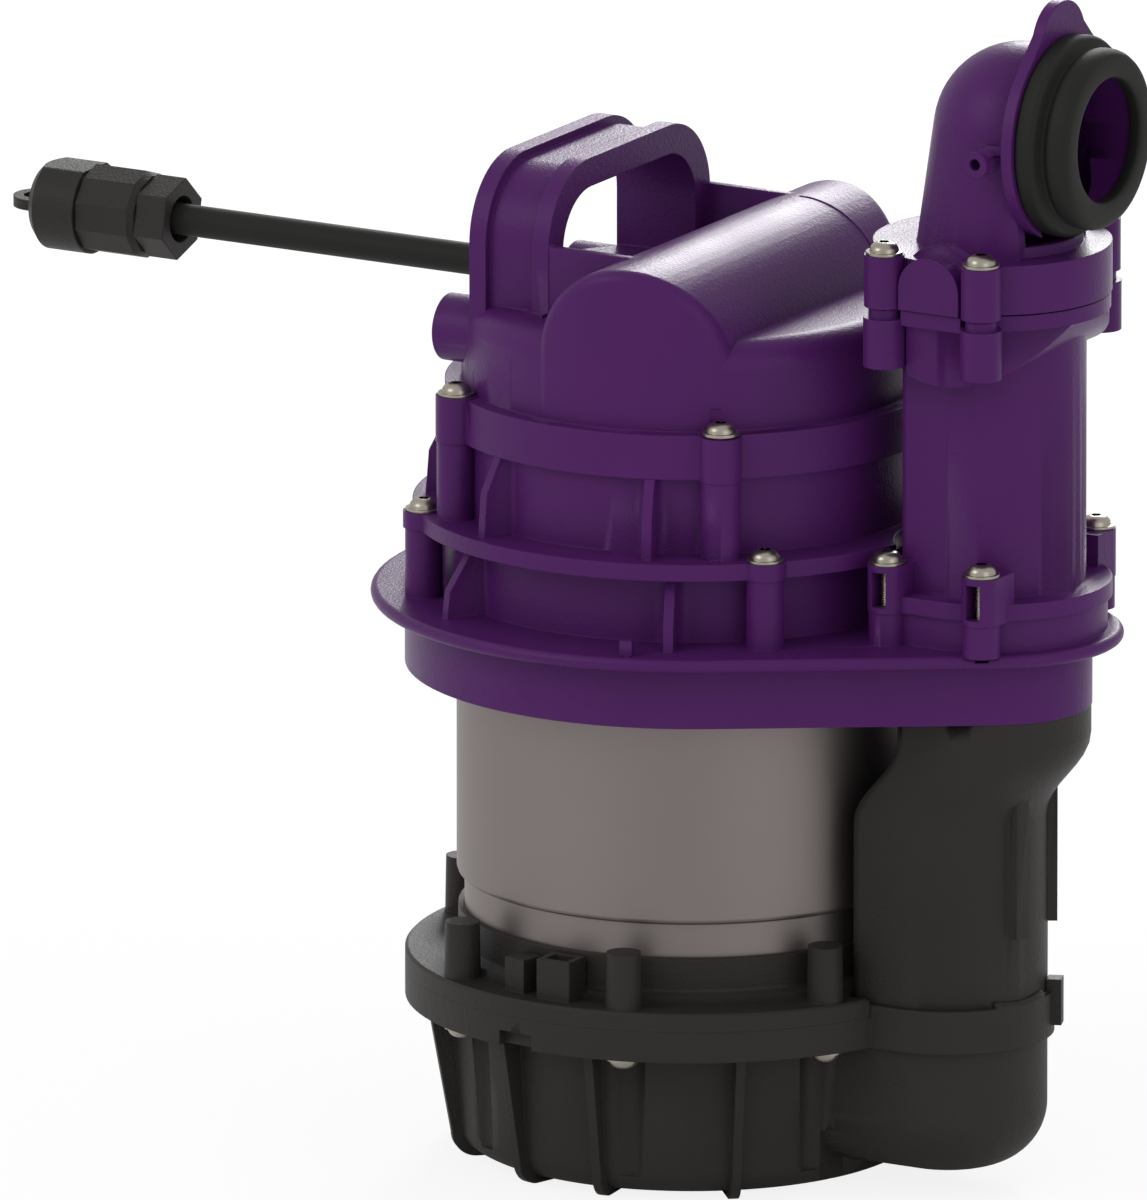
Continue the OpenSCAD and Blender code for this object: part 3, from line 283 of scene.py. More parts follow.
def drum(middle: Pair, radius: float, low: float, high: float, sides: int = 128) -> Piece:
    """Make an upright cylinder.

    Args:
        middle: Its axis, in millimetres.
        radius: Its radius, in millimetres.
        low: Height of its bottom, in millimetres.
        high: Height of its top, in millimetres.
        sides: Number of its sides.

    Returns:
        The new piece, at the origin.
    """
    select_none()
    bpy.ops.mesh.primitive_cylinder_add(vertices=sides, radius=radius * MM, depth=(high - low) * MM,
                                        location=(middle[0] * MM, middle[1] * MM, (low + high) / 2 * MM))
    piece = bpy.context.object
    apply_place(piece)
    return piece


def bisected(piece: Piece, x: float, keep_above: bool) -> Piece:
    """Cut a piece at a plane across X and close the cut.

    Args:
        piece: The object that is cut.
        x: Place of the plane, in millimetres.
        keep_above: Whether the side towards plus X stays.

    Returns:
        The same piece.
    """
    edit(piece)
    bpy.ops.mesh.bisect(plane_co=(x * MM, 0.0, 0.0), plane_no=(1.0, 0.0, 0.0), use_fill=True,
                        clear_inner=keep_above, clear_outer=not keep_above)
    leave_edit()
    return piece


def weld(piece: Piece, distance: float) -> None:
    """Merge the points of a piece that lie within a distance, in metres."""
    edit(piece)
    bpy.ops.mesh.remove_doubles(threshold=distance)
    leave_edit()


def round_edges(piece: Piece, offset: float, segments: int, wanted: Callable) -> None:
    """Round the edges that a test accepts.

    Args:
        piece: The object to round.
        offset: Width of the rounding, in millimetres.
        segments: Number of faces across it.
        wanted: Test that takes an edge of the mesh, in metres.
    """
    edit(piece, "DESELECT")
    bpy.ops.mesh.select_mode(type="EDGE")
    pick(piece, "edges", wanted)
    bpy.ops.mesh.bevel(offset=offset * MM, segments=segments, affect="EDGES", clamp_overlap=False)
    bpy.ops.mesh.select_mode(type="VERT")
    leave_edit()


def joined(pieces: list[Piece], name: str) -> Piece:
    """Join pieces into one object of a given name."""
    select_none()
    for piece in pieces:
        piece.select_set(True)
    bpy.context.view_layer.objects.active = pieces[0]
    bpy.ops.object.join()
    whole = bpy.context.object
    whole.name = name
    select_none()
    return whole


class Graph:
    """Short calls for building a node tree."""

    def __init__(self, tree: bpy.types.NodeTree) -> None:
        """Keep the tree that the nodes go in."""
        self.tree = tree

    @staticmethod
    def preset(node: bpy.types.Node, inputs: dict) -> None:
        """Set a node's inputs, by name or place."""
        for key, value in inputs.items():
            node.inputs[key].default_value = value

    def add(self, kind: str, inputs: dict | None = None, **values: object) -> bpy.types.Node:
        """Add a node and set its properties and inputs.

        Args:
            kind: The node's type name.
            inputs: Values of its inputs, by name or place.
            values: Its properties, by name.

        Returns:
            The new node.
        """
        node = self.tree.nodes.new(kind)
        for key, value in values.items():
            setattr(node, key, value)
        self.preset(node, inputs or {})
        return node

    def link(self, source: bpy.types.NodeSocket, target: bpy.types.NodeSocket) -> None:
        """Link an output socket to an input socket."""
        self.tree.links.new(source, target)

    def math(self, operation: str, first: object, second: object = 0.0) -> bpy.types.NodeSocket:
        """Add a Math node.

        Args:
            operation: The operation's name.
            first: A socket or a number.
            second: A socket or a number.

        Returns:
            The result's socket.
        """
        node = self.add("ShaderNodeMath", operation=operation)
        for socket, value in zip(node.inputs, (first, second)):
            if isinstance(value, bpy.types.NodeSocket):
                self.link(value, socket)
            else:
                socket.default_value = value
        return node.outputs[0]

    def between(self, value: bpy.types.NodeSocket, low: float, high: float, to_low: float = 0.0,
                to_high: float = 1.0) -> bpy.types.NodeSocket:
        """Add a Map Range node.

        Args:
            value: The socket to remap.
            low: Value that gives to_low.
            high: Value that gives to_high.
            to_low: Result at low.
            to_high: Result at high.

        Returns:
            The result's socket.
        """
        limits = {"From Min": low, "From Max": high, "To Min": to_low, "To Max": to_high}
        node = self.add("ShaderNodeMapRange", limits)
        self.link(value, node.inputs["Value"])
        return node.outputs["Result"]

    def mix(self, share: bpy.types.NodeSocket, shaders: tuple, surface: bpy.types.NodeSocket) -> None:
        """Mix two shaders into a surface.

        Args:
            share: The second shader's share.
            shaders: Sockets of both shaders.
            surface: The socket that takes the mix.
        """
        node = self.add("ShaderNodeMixShader")
        for source, target in zip((share, *shaders), node.inputs):
            self.link(source, target)
        self.link(node.outputs[0], surface)


class Effects:
    """Shader node groups that several finishes share."""

    def __init__(self) -> None:
        """Build each group once."""
        self.grain = self._grain()
        self.tone = self._tone()
        self.rub = self._rub()

    @staticmethod
    def _start(name: str, inputs: dict[str, float],
               outputs: tuple[str, ...]) -> tuple[bpy.types.NodeTree, Graph]:
        """Start a node group with its sockets.

        Args:
            name: The group's name.
            inputs: Input names with their default values.
            outputs: Output names.

        Returns:
            The group and the graph that builds it.
        """
        tree = bpy.data.node_groups.new(name, "ShaderNodeTree")
        for key, value in inputs.items():
            socket = tree.interface.new_socket(name=key, in_out="INPUT", socket_type="NodeSocketFloat")
            socket.default_value = value
        for key in outputs:
            tree.interface.new_socket(name=key, in_out="OUTPUT", socket_type="NodeSocketFloat")
        return tree, Graph(tree)

    def _grain(self) -> bpy.types.NodeTree:
        """Fine moulded grain: a height of two sizes of noise."""
        tree, graph = self._start("Moulded grain", {"Scale": 1800.0, "Stretch": 1.0}, ("Height",))
        source = graph.add("NodeGroupInput")
        place = graph.add("ShaderNodeTexCoord")
        stretch = graph.add("ShaderNodeCombineXYZ", {0: 1.0, 1: 1.0})
        graph.link(source.outputs["Stretch"], stretch.inputs[2])
        scaled = graph.add("ShaderNodeVectorMath", operation="MULTIPLY")
        graph.link(place.outputs["Object"], scaled.inputs[0])
        graph.link(stretch.outputs[0], scaled.inputs[1])
        fine = graph.add("ShaderNodeTexNoise", {"Detail": 2.0})
        graph.link(scaled.outputs[0], fine.inputs["Vector"])
        graph.link(source.outputs["Scale"], fine.inputs["Scale"])
        pits = graph.add("ShaderNodeTexVoronoi", feature="SMOOTH_F1")
        graph.link(scaled.outputs[0], pits.inputs["Vector"])
        graph.link(graph.math("MULTIPLY", source.outputs["Scale"], 0.55), pits.inputs["Scale"])
        deep = graph.math("MULTIPLY", pits.outputs["Distance"], 0.6)
        height = graph.math("ADD", fine.outputs["Fac"], deep)
        sink = graph.add("NodeGroupOutput")
        graph.link(height, sink.inputs["Height"])
        return tree

    def _tone(self) -> bpy.types.NodeTree:
        """Slow change of tone over a moulding, from -1 to 1, as flow marks leave it."""
        tree, graph = self._start("Tone drift", {"Scale": 14.0}, ("Drift",))
        source = graph.add("NodeGroupInput")
        place = graph.add("ShaderNodeTexCoord")
        slow = graph.add("ShaderNodeTexNoise", {"Detail": 4.0, "Roughness": 0.55})
        graph.link(place.outputs["Object"], slow.inputs["Vector"])
        graph.link(source.outputs["Scale"], slow.inputs["Scale"])
        sink = graph.add("NodeGroupOutput")
        graph.link(graph.between(slow.outputs["Fac"], 0.3, 0.7, -1.0, 1.0), sink.inputs["Drift"])
        return tree

    def _rub(self) -> bpy.types.NodeTree:
        """Mask of rubbed edges: where the rounded normal leaves the flat one, broken by noise."""
        tree, graph = self._start("Rubbed edges", {"Width": 0.0009, "Amount": 1.0}, ("Mask",))
        source = graph.add("NodeGroupInput")
        flat = graph.add("ShaderNodeNewGeometry")
        rounded = graph.add("ShaderNodeBevel", samples=4)
        graph.link(source.outputs["Width"], rounded.inputs["Radius"])
        dot = graph.add("ShaderNodeVectorMath", operation="DOT_PRODUCT")
        graph.link(flat.outputs["Normal"], dot.inputs[0])
        graph.link(rounded.outputs["Normal"], dot.inputs[1])
        edge = graph.between(dot.outputs["Value"], 0.985, 0.8)
        place = graph.add("ShaderNodeTexCoord")
        broken = graph.add("ShaderNodeTexNoise", {"Scale": 260.0, "Detail": 3.0})
        graph.link(place.outputs["Object"], broken.inputs["Vector"])
        patchy = graph.math("MULTIPLY", edge, graph.between(broken.outputs["Fac"], 0.35, 0.65))
        sink = graph.add("NodeGroupOutput")
        graph.link(graph.math("MULTIPLY", patchy, source.outputs["Amount"]), sink.inputs["Mask"])
        return tree


@dataclass(frozen=True)
class Finish:
    """A finish of one material, as numbers that its shader is built from."""

    name: str
    slot: str
    colour: Triple
    edge_colour: Triple
    roughness: float
    roughness_drift: float = 0.05
    metallic: float = 0.0
    specular: float = 0.5
    grain_scale: float = 1800.0
    grain_stretch: float = 1.0
    grain_depth: float = 0.00005
    grain_strength: float = 0.25
    tone: float = 0.06
    rounding: float = 0.0006
    rub: float = 0.35

    def material(self, effects: Effects) -> bpy.types.Material:
        """Build the material.

        Args:
            effects: The shared node groups.

        Returns:
            The new material.
        """
        material = bpy.data.materials.new(self.name)
        material.use_nodes = True
        graph = Graph(material.node_tree)
        shader = material.node_tree.nodes["Principled BSDF"]
        graph.preset(shader, {"Metallic": self.metallic, "Specular IOR Level": self.specular})

        drift = graph.add("ShaderNodeGroup", node_tree=effects.tone)
        rub = graph.add("ShaderNodeGroup", {"Amount": self.rub}, node_tree=effects.rub)
        scales = {"Scale": self.grain_scale, "Stretch": self.grain_stretch}
        grain = graph.add("ShaderNodeGroup", scales, node_tree=effects.grain)

        light = graph.between(drift.outputs["Drift"], -1.0, 1.0, 1.0 - self.tone, 1.0 + self.tone)
        toned = graph.add("ShaderNodeVectorMath", {0: self.colour}, operation="SCALE")
        graph.link(light, toned.inputs["Scale"])
        edged = graph.add("ShaderNodeMix", data_type="RGBA")
        graph.link(rub.outputs["Mask"], edged.inputs["Factor"])
        graph.link(toned.outputs[0], edged.inputs["A"])
        edged.inputs["B"].default_value = (*self.edge_colour, 1.0)
        graph.link(edged.outputs["Result"], shader.inputs["Base Color"])

        rough = graph.between(drift.outputs["Drift"], -1.0, 1.0, self.roughness - self.roughness_drift,
                              self.roughness + self.roughness_drift)
        graph.link(rough, shader.inputs["Roughness"])

        rounded = graph.add("ShaderNodeBevel", {"Radius": self.rounding}, samples=4)
        depths = {"Strength": self.grain_strength, "Distance": self.grain_depth}
        bump = graph.add("ShaderNodeBump", depths)
        graph.link(grain.outputs["Height"], bump.inputs["Height"])
        graph.link(rounded.outputs["Normal"], bump.inputs["Normal"])
        graph.link(bump.outputs["Normal"], shader.inputs["Normal"])
        return material


FINISHES = (
    Finish("black_moulding", "black_plastic", (0.0235, 0.0208, 0.0194), (0.04, 0.038, 0.036), 0.5,
           specular=0.17, grain_scale=1500.0, grain_depth=0.00018, grain_strength=0.85, tone=0.12),
    Finish("purple_moulding", "purple_plastic", (0.067, 0.0115, 0.101), (0.1, 0.035, 0.13), 0.37,
           specular=0.12, grain_scale=1600.0, grain_depth=0.00014, grain_strength=0.75, tone=0.08),
    Finish("drawn_stainless", "stainless", (0.235, 0.205, 0.196), (0.3, 0.27, 0.26), 0.5,
           metallic=1.0, grain_scale=900.0, grain_stretch=0.12, grain_depth=0.00005,
           grain_strength=0.25, tone=0.05, rub=0.1),
    Finish("plated_screw", "screw_steel", (0.36, 0.33, 0.28), (0.5, 0.47, 0.42), 0.32,
           metallic=1.0, grain_scale=1200.0, grain_depth=0.00002, grain_strength=0.15,
           rounding=0.00025, tone=0.05),
    Finish("seal_rubber", "rubber", (0.011, 0.011, 0.0098), (0.02, 0.02, 0.019), 0.62,
           specular=0.2, grain_scale=2400.0, grain_depth=0.00015, grain_strength=0.6,
           tone=0.15, rub=0.15),
    Finish("seal_ceramic", "seal_ceramic", (0.72, 0.7, 0.64), (0.8, 0.78, 0.72), 0.22, rub=0.0),
    Finish("laminated_iron", "laminations", (0.12, 0.12, 0.125), (0.2, 0.2, 0.2), 0.5,
           metallic=0.8, grain_scale=900.0, grain_stretch=24.0, grain_depth=0.0002, grain_strength=0.6),
    Finish("enamelled_wire", "copper_wire", (0.5, 0.2, 0.07), (0.6, 0.3, 0.14), 0.3,
           metallic=0.7, grain_scale=700.0, grain_stretch=6.0, grain_depth=0.0003, grain_strength=0.8),
    Finish("cast_aluminium", "aluminium", (0.55, 0.55, 0.56), (0.7, 0.7, 0.7), 0.45,
           metallic=1.0, grain_scale=900.0, grain_depth=0.0002, grain_strength=0.5),
    Finish("contact_brass", "brass", (0.7, 0.5, 0.2), (0.8, 0.62, 0.32), 0.25, metallic=1.0,
           rounding=0.0002),
)


@dataclass
class Wardrobe:
    """All the materials of the pump, by the record's slot."""

    effects: Effects
    materials: dict[str, bpy.types.Material] = field(default_factory=dict)

    def stock(self) -> None:
        """Build each finish's material."""
        for finish in FINISHES:
            self.materials[finish.slot] = finish.material(self.effects)
            LOG.info("finish %s", finish.name)

    def wear(self, piece: Piece, slot: str) -> None:
        """Give a piece one material on all its faces.

        Args:
            piece: The object to dress.
            slot: The record's material slot.
        """
        piece.data.materials.clear()
        piece.data.materials.append(self.materials[slot])

    def dress_frame(self, frame: dict) -> None:
        """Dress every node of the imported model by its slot.
        """
        for part in frame["record"]["subparts"]:
            node = frame["nodes"][part["node"]]
            self.wear(node, part["material_slot"])
            LOG.info("dressed %s in %s", part["node"], part["material_slot"])


@dataclass
class Studio:
    """The floor, the lights and the camera at the photograph's angle."""

    azimuth: float = 30.0
    pitch: float = 14.2
    distance: float = 15.0
    pixels_per_mm: float = 3.14
    picture: tuple[int, int] = (1147, 1200)
    axis_px: float = 692.0
    aim_z: float = 0.1766
    sensor: float = 36.0
    clip_end: float = 90.0
    room_light: float = 0.75
    floor_r: float = 40.0
    floor_z: float = -0.00205
    floor_tone: float = 0.86
    floor_glow: float = 0.86
    lamp_aim_z: float = 0.18
    lamps: tuple[tuple[str, Triple, float, float], ...] = (
        ("key", (-1.1, -1.9, 1.7), 1.3, 14.0),
        ("fill", (2.2, -0.9, 0.9), 1.5, 6.0),
        ("back", (-0.7, 1.9, 1.1), 0.7, 26.0),
    )

    def camera(self) -> None:
        """Place the camera so that the shaft's axis and the feet fall where the photograph has them."""
        turn = math.radians(self.azimuth)
        right = Vector((math.cos(turn), math.sin(turn), 0.0))
        towards = Vector((math.sin(turn), -math.cos(turn), 0.0))
        offset = (self.picture[0] / 2 - self.axis_px) / self.pixels_per_mm * MM
        aim = right * offset + Vector((0.0, 0.0, self.aim_z))
        tilt = math.radians(self.pitch)
        place = aim + (towards * math.cos(tilt) + Vector((0.0, 0.0, math.sin(tilt)))) * self.distance
        bpy.ops.object.camera_add(location=place)
        camera = bpy.context.object
        camera.name = "photo_camera"
        camera.rotation_euler = (aim - place).to_track_quat("-Z", "Y").to_euler()
        camera.data.sensor_fit = "VERTICAL"
        camera.data.sensor_height = self.sensor
        camera.data.lens = self.sensor * self.pixels_per_mm * self.distance / MM / self.picture[1]
        camera.data.clip_end = self.clip_end
        bpy.context.scene.camera = camera

    def lamp(self, name: str, place: Triple, size: float, power: float) -> None:
        """Add a square soft lamp that looks at the pump.

        Args:
            name: The lamp's name.
            place: Where it stands, in metres.
            size: Its side, in metres.
            power: Its power, in watts.
        """
        bpy.ops.object.light_add(type="AREA", location=place)
        lamp = bpy.context.object
        lamp.name = name
        lamp.data.size = size
        lamp.data.energy = power
        aim = Vector((0.0, 0.0, self.lamp_aim_z)) - Vector(place)
        lamp.rotation_euler = aim.to_track_quat("-Z", "Y").to_euler()

    def world(self) -> None:
        """Light the room evenly, with a plain white behind the pump."""
        world = bpy.data.worlds.new("white_room")
        world.use_nodes = True
        bpy.context.scene.world = world
        graph = Graph(world.node_tree)
        room = world.node_tree.nodes["Background"]
        graph.preset(room, {"Color": (1.0, 1.0, 1.0, 1.0), "Strength": self.room_light})
        white = graph.add("ShaderNodeBackground", {"Strength": 1.0})
        path = graph.add("ShaderNodeLightPath")
        seen = graph.math("MAXIMUM", path.outputs["Is Camera Ray"], path.outputs["Is Transmission Ray"])
        share = graph.math("MAXIMUM", seen, path.outputs["Is Glossy Ray"])
        sink = world.node_tree.nodes["World Output"]
        graph.mix(share, (room.outputs[0], white.outputs[0]), sink.inputs["Surface"])

    def floor(self) -> None:
        """Lay the pale floor that the feet stand on."""
        bpy.ops.mesh.primitive_circle_add(vertices=96, radius=self.floor_r, fill_type="NGON",
                                          location=(0.0, 0.0, self.floor_z))
        floor = bpy.context.object
        floor.name = "studio_floor"
        apply_place(floor)
        material = bpy.data.materials.new("pale_floor")
        material.use_nodes = True
        graph = Graph(material.node_tree)
        shader = material.node_tree.nodes["Principled BSDF"]
        tone = self.floor_tone
        graph.preset(shader, {"Base Color": (tone, tone, tone, 1.0), "Roughness": 0.9,
                              "Specular IOR Level": 0.1})
        glow = graph.add("ShaderNodeEmission", {"Strength": 1.0})
        path = graph.add("ShaderNodeLightPath")
        share = graph.math("MULTIPLY", path.outputs["Is Camera Ray"], self.floor_glow)
        sink = material.node_tree.nodes["Material Output"]
        graph.mix(share, (shader.outputs[0], glow.outputs[0]), sink.inputs["Surface"])
        floor.data.materials.append(material)

    def build(self) -> None:
        """Set up the whole studio."""
        select_none()
        self.camera()
        self.world()
        self.floor()
        for lamp in self.lamps:
            self.lamp(*lamp)
        bpy.context.scene.view_settings.view_transform = "Standard"
        LOG.info("studio built")


@dataclass(frozen=True)
class Moulding:
    """How the copy of one CAD piece is finished."""

    node: str
    smooth_angle: float = WALL_ANGLE
    rounding: float = 0.0
    segments: int = 2
    least_angle: float = 34.0
    body: Body = Body.PUMP


@dataclass
class Mouldings:
    """Copies of the CAD mouldings, merged so that curved walls shade evenly, the small ones rounded."""

    wardrobe: Wardrobe
    pieces: tuple[Moulding, ...] = (
        Moulding("base_dish", 24.0),
        Moulding("volute"),
        Moulding("cover_plate"),
        Moulding("riser"),
        Moulding("mid_housing"),
        Moulding("discharge_pipe"),
        Moulding("top_cover"),
        Moulding("elbow"),
        Moulding("cable_gland", rounding=0.0004),
        Moulding("plug_nut", rounding=0.0006),
        Moulding("plug_body", rounding=0.0016, segments=4),
        Moulding("plug_cap", rounding=0.0009, segments=3, body=Body.CAP),
    )
    made: dict[str, Piece] = field(default_factory=dict)
    weld: float = 2e-6
    flat: float = 0.02
    plane: float = 0.002

    def copy_of(self, node: Piece, moulding: Moulding) -> Piece:
        """Copy a node, merge its triangles and round its edges.

        Args:
            node: The CAD node.
            moulding: How the copy is finished.

        Returns:
            The copy, free of its body.
        """
        take(node)
        bpy.ops.object.duplicate()
        copy = bpy.context.object
        copy.name = moulding.node + "_moulding"
        copy.parent = None
        edit(copy)
        bpy.ops.mesh.remove_doubles(threshold=self.weld)
        bpy.ops.mesh.dissolve_limited(angle_limit=self.flat if moulding.rounding else self.plane)
        leave_edit()
        if moulding.rounding:
            soften(copy, moulding.rounding, moulding.segments, moulding.least_angle)
        smooth(copy, moulding.smooth_angle)
        weigh(copy)
        return copy

    def build(self, frame: dict) -> None:
        """Make the copies and let them stand for their nodes.
        """
        slots = {part["node"]: part["material_slot"] for part in frame["record"]["subparts"]}
        for moulding in self.pieces:
            name = moulding.node
            copy = self.copy_of(frame["nodes"][name], moulding)
            self.wardrobe.wear(copy, slots[name])
            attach(copy, moulding.body.value)
            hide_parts(name)
            self.made[name] = copy
            LOG.info("moulding %s: %d faces", name, len(copy.data.polygons))


def ring_spots(radius: float, angles: tuple[float, ...]) -> tuple[Pair, ...]:
    """Places on a circle about the shaft, by angle in degrees."""
    turns = [math.radians(angle) for angle in angles]
    return tuple((radius * math.cos(turn), radius * math.sin(turn)) for turn in turns)


@dataclass
class Cover:
    """The top cover's deck and hump, modelled on the walls of its CAD piece, in millimetres."""

    wardrobe: Wardrobe
    band_z: float = 250.05
    gone_x: float = -22.9
    gone_to: float = 90.0
    gone_top: float = 320.0
    side_x: Pair = (-27.0, -22.8)
    side_y: float = 56.0
    wall_r: float = 73.38
    low: float = 249.0
    deck_z: float = 278.06
    deck_round: float = 9.0
    wall: float = 3.0
    hollow_low: float = 242.0
    hollow_y: float = 54.0
    foot_drop: float = 6.0
    end_r: float = 74.0
    end_round: float = 4.2
    end_steps: int = 5
    hump_x: float = 15.0
    hump_r: float = 30.8
    hump_z: float = 270.5
    slice_x: float = 3.0
    slices: int = 10
    trim: float = 0.3
    weld: float = 0.01
    crease_round: float = 5.0
    crease_slack: Pair = (0.3, 0.05)
    plate_x: Pair = (-25.0, 13.0)
    plate_y: float = 49.8
    plate_half: float = 1.6
    plate_z: Pair = (262.0, 300.4)
    plate_round: float = 0.4
    seam_x: float = 14.0
    seam_y: float = 44.5
    seam_r: float = 0.4
    seam_sunk: float = 0.05
    seat_r: float = 6.1
    seat_z: Pair = (241.0, 257.5)
    seats: tuple[Pair, ...] = ring_spots(79.3, (-130.8, -53.6, 53.6, 130.8))

    def hollow(self) -> Piece:
        """Make the arched bar along Y that hollows the hump."""
        select_none()
        radius, reach = self.hump_r - self.wall, self.hollow_y
        bpy.ops.mesh.primitive_cylinder_add(
            vertices=96, radius=radius * MM, depth=2 * reach * MM, rotation=(math.pi / 2, 0.0, 0.0),
            location=(self.hump_x * MM, 0.0, self.hump_z * MM),
        )
        bar = bpy.context.object
        apply_place(bar)
        low = self.hump_z - radius - self.foot_drop
        foot = block((self.hump_x - radius, -reach, low), (self.hump_x + radius, reach, self.hump_z))
        merged_with(bar, foot, "UNION")
        return bar

    def hump(self) -> Piece:
        """Make the hump: an arched bar whose rounded ends follow the cover's round wall."""
        select_none()
        flat_y = self.end_r - self.end_round
        bpy.ops.mesh.primitive_circle_add(
            vertices=96, radius=self.hump_r * MM, fill_type="NGON", rotation=(math.pi / 2, 0.0, 0.0),
            location=(self.hump_x * MM, -flat_y * MM, self.hump_z * MM),
        )
        bar = bpy.context.object
        apply_place(bar)
        edit(bar, "DESELECT")
        pick(bar, "verts", lambda vertex: vertex.co.z < (self.hump_z - NEAR) * MM)
        bpy.ops.transform.translate(value=(0.0, 0.0, -2 * (self.hump_z - self.low) * MM))
        bpy.ops.mesh.select_all(action="SELECT")
        length = 2 * flat_y * MM
        bpy.ops.mesh.extrude_region_move(TRANSFORM_OT_translate={"value": (0.0, length, 0.0)})
        bpy.ops.mesh.select_all(action="SELECT")
        bpy.ops.mesh.normals_make_consistent(inside=False)
        bpy.ops.mesh.select_mode(type="FACE")
        pick(bar, "faces", lambda face: abs(face.normal.y) > FACING)
        turns = [math.pi / 2 * i / self.end_steps for i in range(self.end_steps + 1)]
        for before, after in zip(turns, turns[1:]):
            bpy.ops.mesh.inset(thickness=(math.cos(before) - math.cos(after)) * self.end_round * MM,
                               depth=(math.sin(after) - math.sin(before)) * self.end_round * MM)
        for step in range(-self.slices, self.slices + 1):
            bpy.ops.mesh.select_all(action="SELECT")
            bpy.ops.mesh.bisect(plane_co=((self.hump_x + self.slice_x * step) * MM, 0.0, 0.0),
                                plane_no=(1.0, 0.0, 0.0))
        bpy.ops.mesh.select_all(action="SELECT")
        bpy.ops.mesh.bisect(plane_co=(0.0, 0.0, (self.low + self.trim) * MM), plane_no=(0.0, 0.0, 1.0),
                            use_fill=True, clear_inner=True)
        bpy.ops.mesh.select_mode(type="VERT")
        leave_edit()
        for vertex in bar.data.vertices:
            back = self.end_r * MM - math.sqrt((self.end_r * MM) ** 2 - vertex.co.x ** 2)
            vertex.co.y -= math.copysign(back, vertex.co.y)
        weld(bar, self.weld * MM)
        return bar

    def plate(self, side: int) -> Piece:
        """Make the plate between the handle and the hump on one side, -1 or 1."""
        middle = side * self.plate_y
        plate = block((self.plate_x[0], middle - self.plate_half, self.plate_z[0]),
                      (self.plate_x[1], middle + self.plate_half, self.plate_z[1]))
        soften(plate, self.plate_round * MM, segments=2)
        return plate

    def seam(self) -> Piece:
        """Make the thin raised line across the hump's far end."""
        select_none()
        bpy.ops.mesh.primitive_torus_add(
            major_radius=(self.hump_r - self.seam_sunk) * MM, minor_radius=self.seam_r * MM,
            major_segments=128, minor_segments=12, rotation=(math.pi / 2, 0.0, 0.0),
            location=(self.hump_x * MM, self.seam_y * MM, self.hump_z * MM),
        )
        seam = bpy.context.object
        apply_place(seam)
        return bisected(seam, self.seam_x, keep_above=True)

    def clear(self, cover: Piece) -> None:
        """Take the CAD piece's own deck and hump away, above its band and clear of the handle."""
        cut_with(cover, block((self.gone_x, -self.gone_to, self.band_z),
                              (self.gone_to, self.gone_to, self.gone_top)))
        for side in (-1, 1):
            near, far = sorted((side * self.side_y, side * self.gone_to))
            cut_with(cover, block((self.side_x[0], near, self.band_z),
                                  (self.side_x[1], far, self.gone_top)))

    def crease(self, edge: bmesh.types.BMEdge) -> bool:
        """Tell whether an edge lies where the hump's side meets the deck."""
        foot = math.sqrt(self.hump_r ** 2 - (self.deck_z - self.hump_z) ** 2)
        across, level = self.crease_slack
        ends = [vertex.co / MM for vertex in edge.verts]
        return (all(abs(end.z - self.deck_z) < level for end in ends)
                and all(abs(abs(end.x - self.hump_x) - foot) < across for end in ends))

    def build(self, cover: Piece) -> None:
        """Rebuild the deck and the hump on a copy of the CAD piece."""
        self.clear(cover)
        deck = drum((0.0, 0.0), self.wall_r, self.low, self.deck_z, sides=160)
        top = (self.deck_z - NEAR) * MM
        round_edges(deck, self.deck_round, segments=8,
                    wanted=lambda edge: min(vertex.co.z for vertex in edge.verts) > top)
        inner_r, roof_z = self.wall_r - self.wall, self.deck_z - self.wall
        cut_with(deck, drum((0.0, 0.0), inner_r, self.hollow_low, roof_z, sides=144))
        hump = self.hump()
        cut_with(hump, self.hollow())
        for spot in self.seats:
            under_hump = spot[0] > 0.0
            for piece in (deck, hump) if under_hump else (deck,):
                cut_with(piece, drum(spot, self.seat_r, *self.seat_z, sides=48))
        merged_with(deck, hump, "UNION")
        round_edges(deck, self.crease_round, segments=6, wanted=self.crease)
        smooth(deck, WALL_ANGLE)
        weigh(deck)
        pieces = [cover, deck, self.plate(-1), self.plate(1), self.seam()]
        self.wardrobe.wear(joined(pieces, cover.name), "purple_plastic")
        LOG.info("cover: deck and hump modelled, %d faces", len(cover.data.polygons))


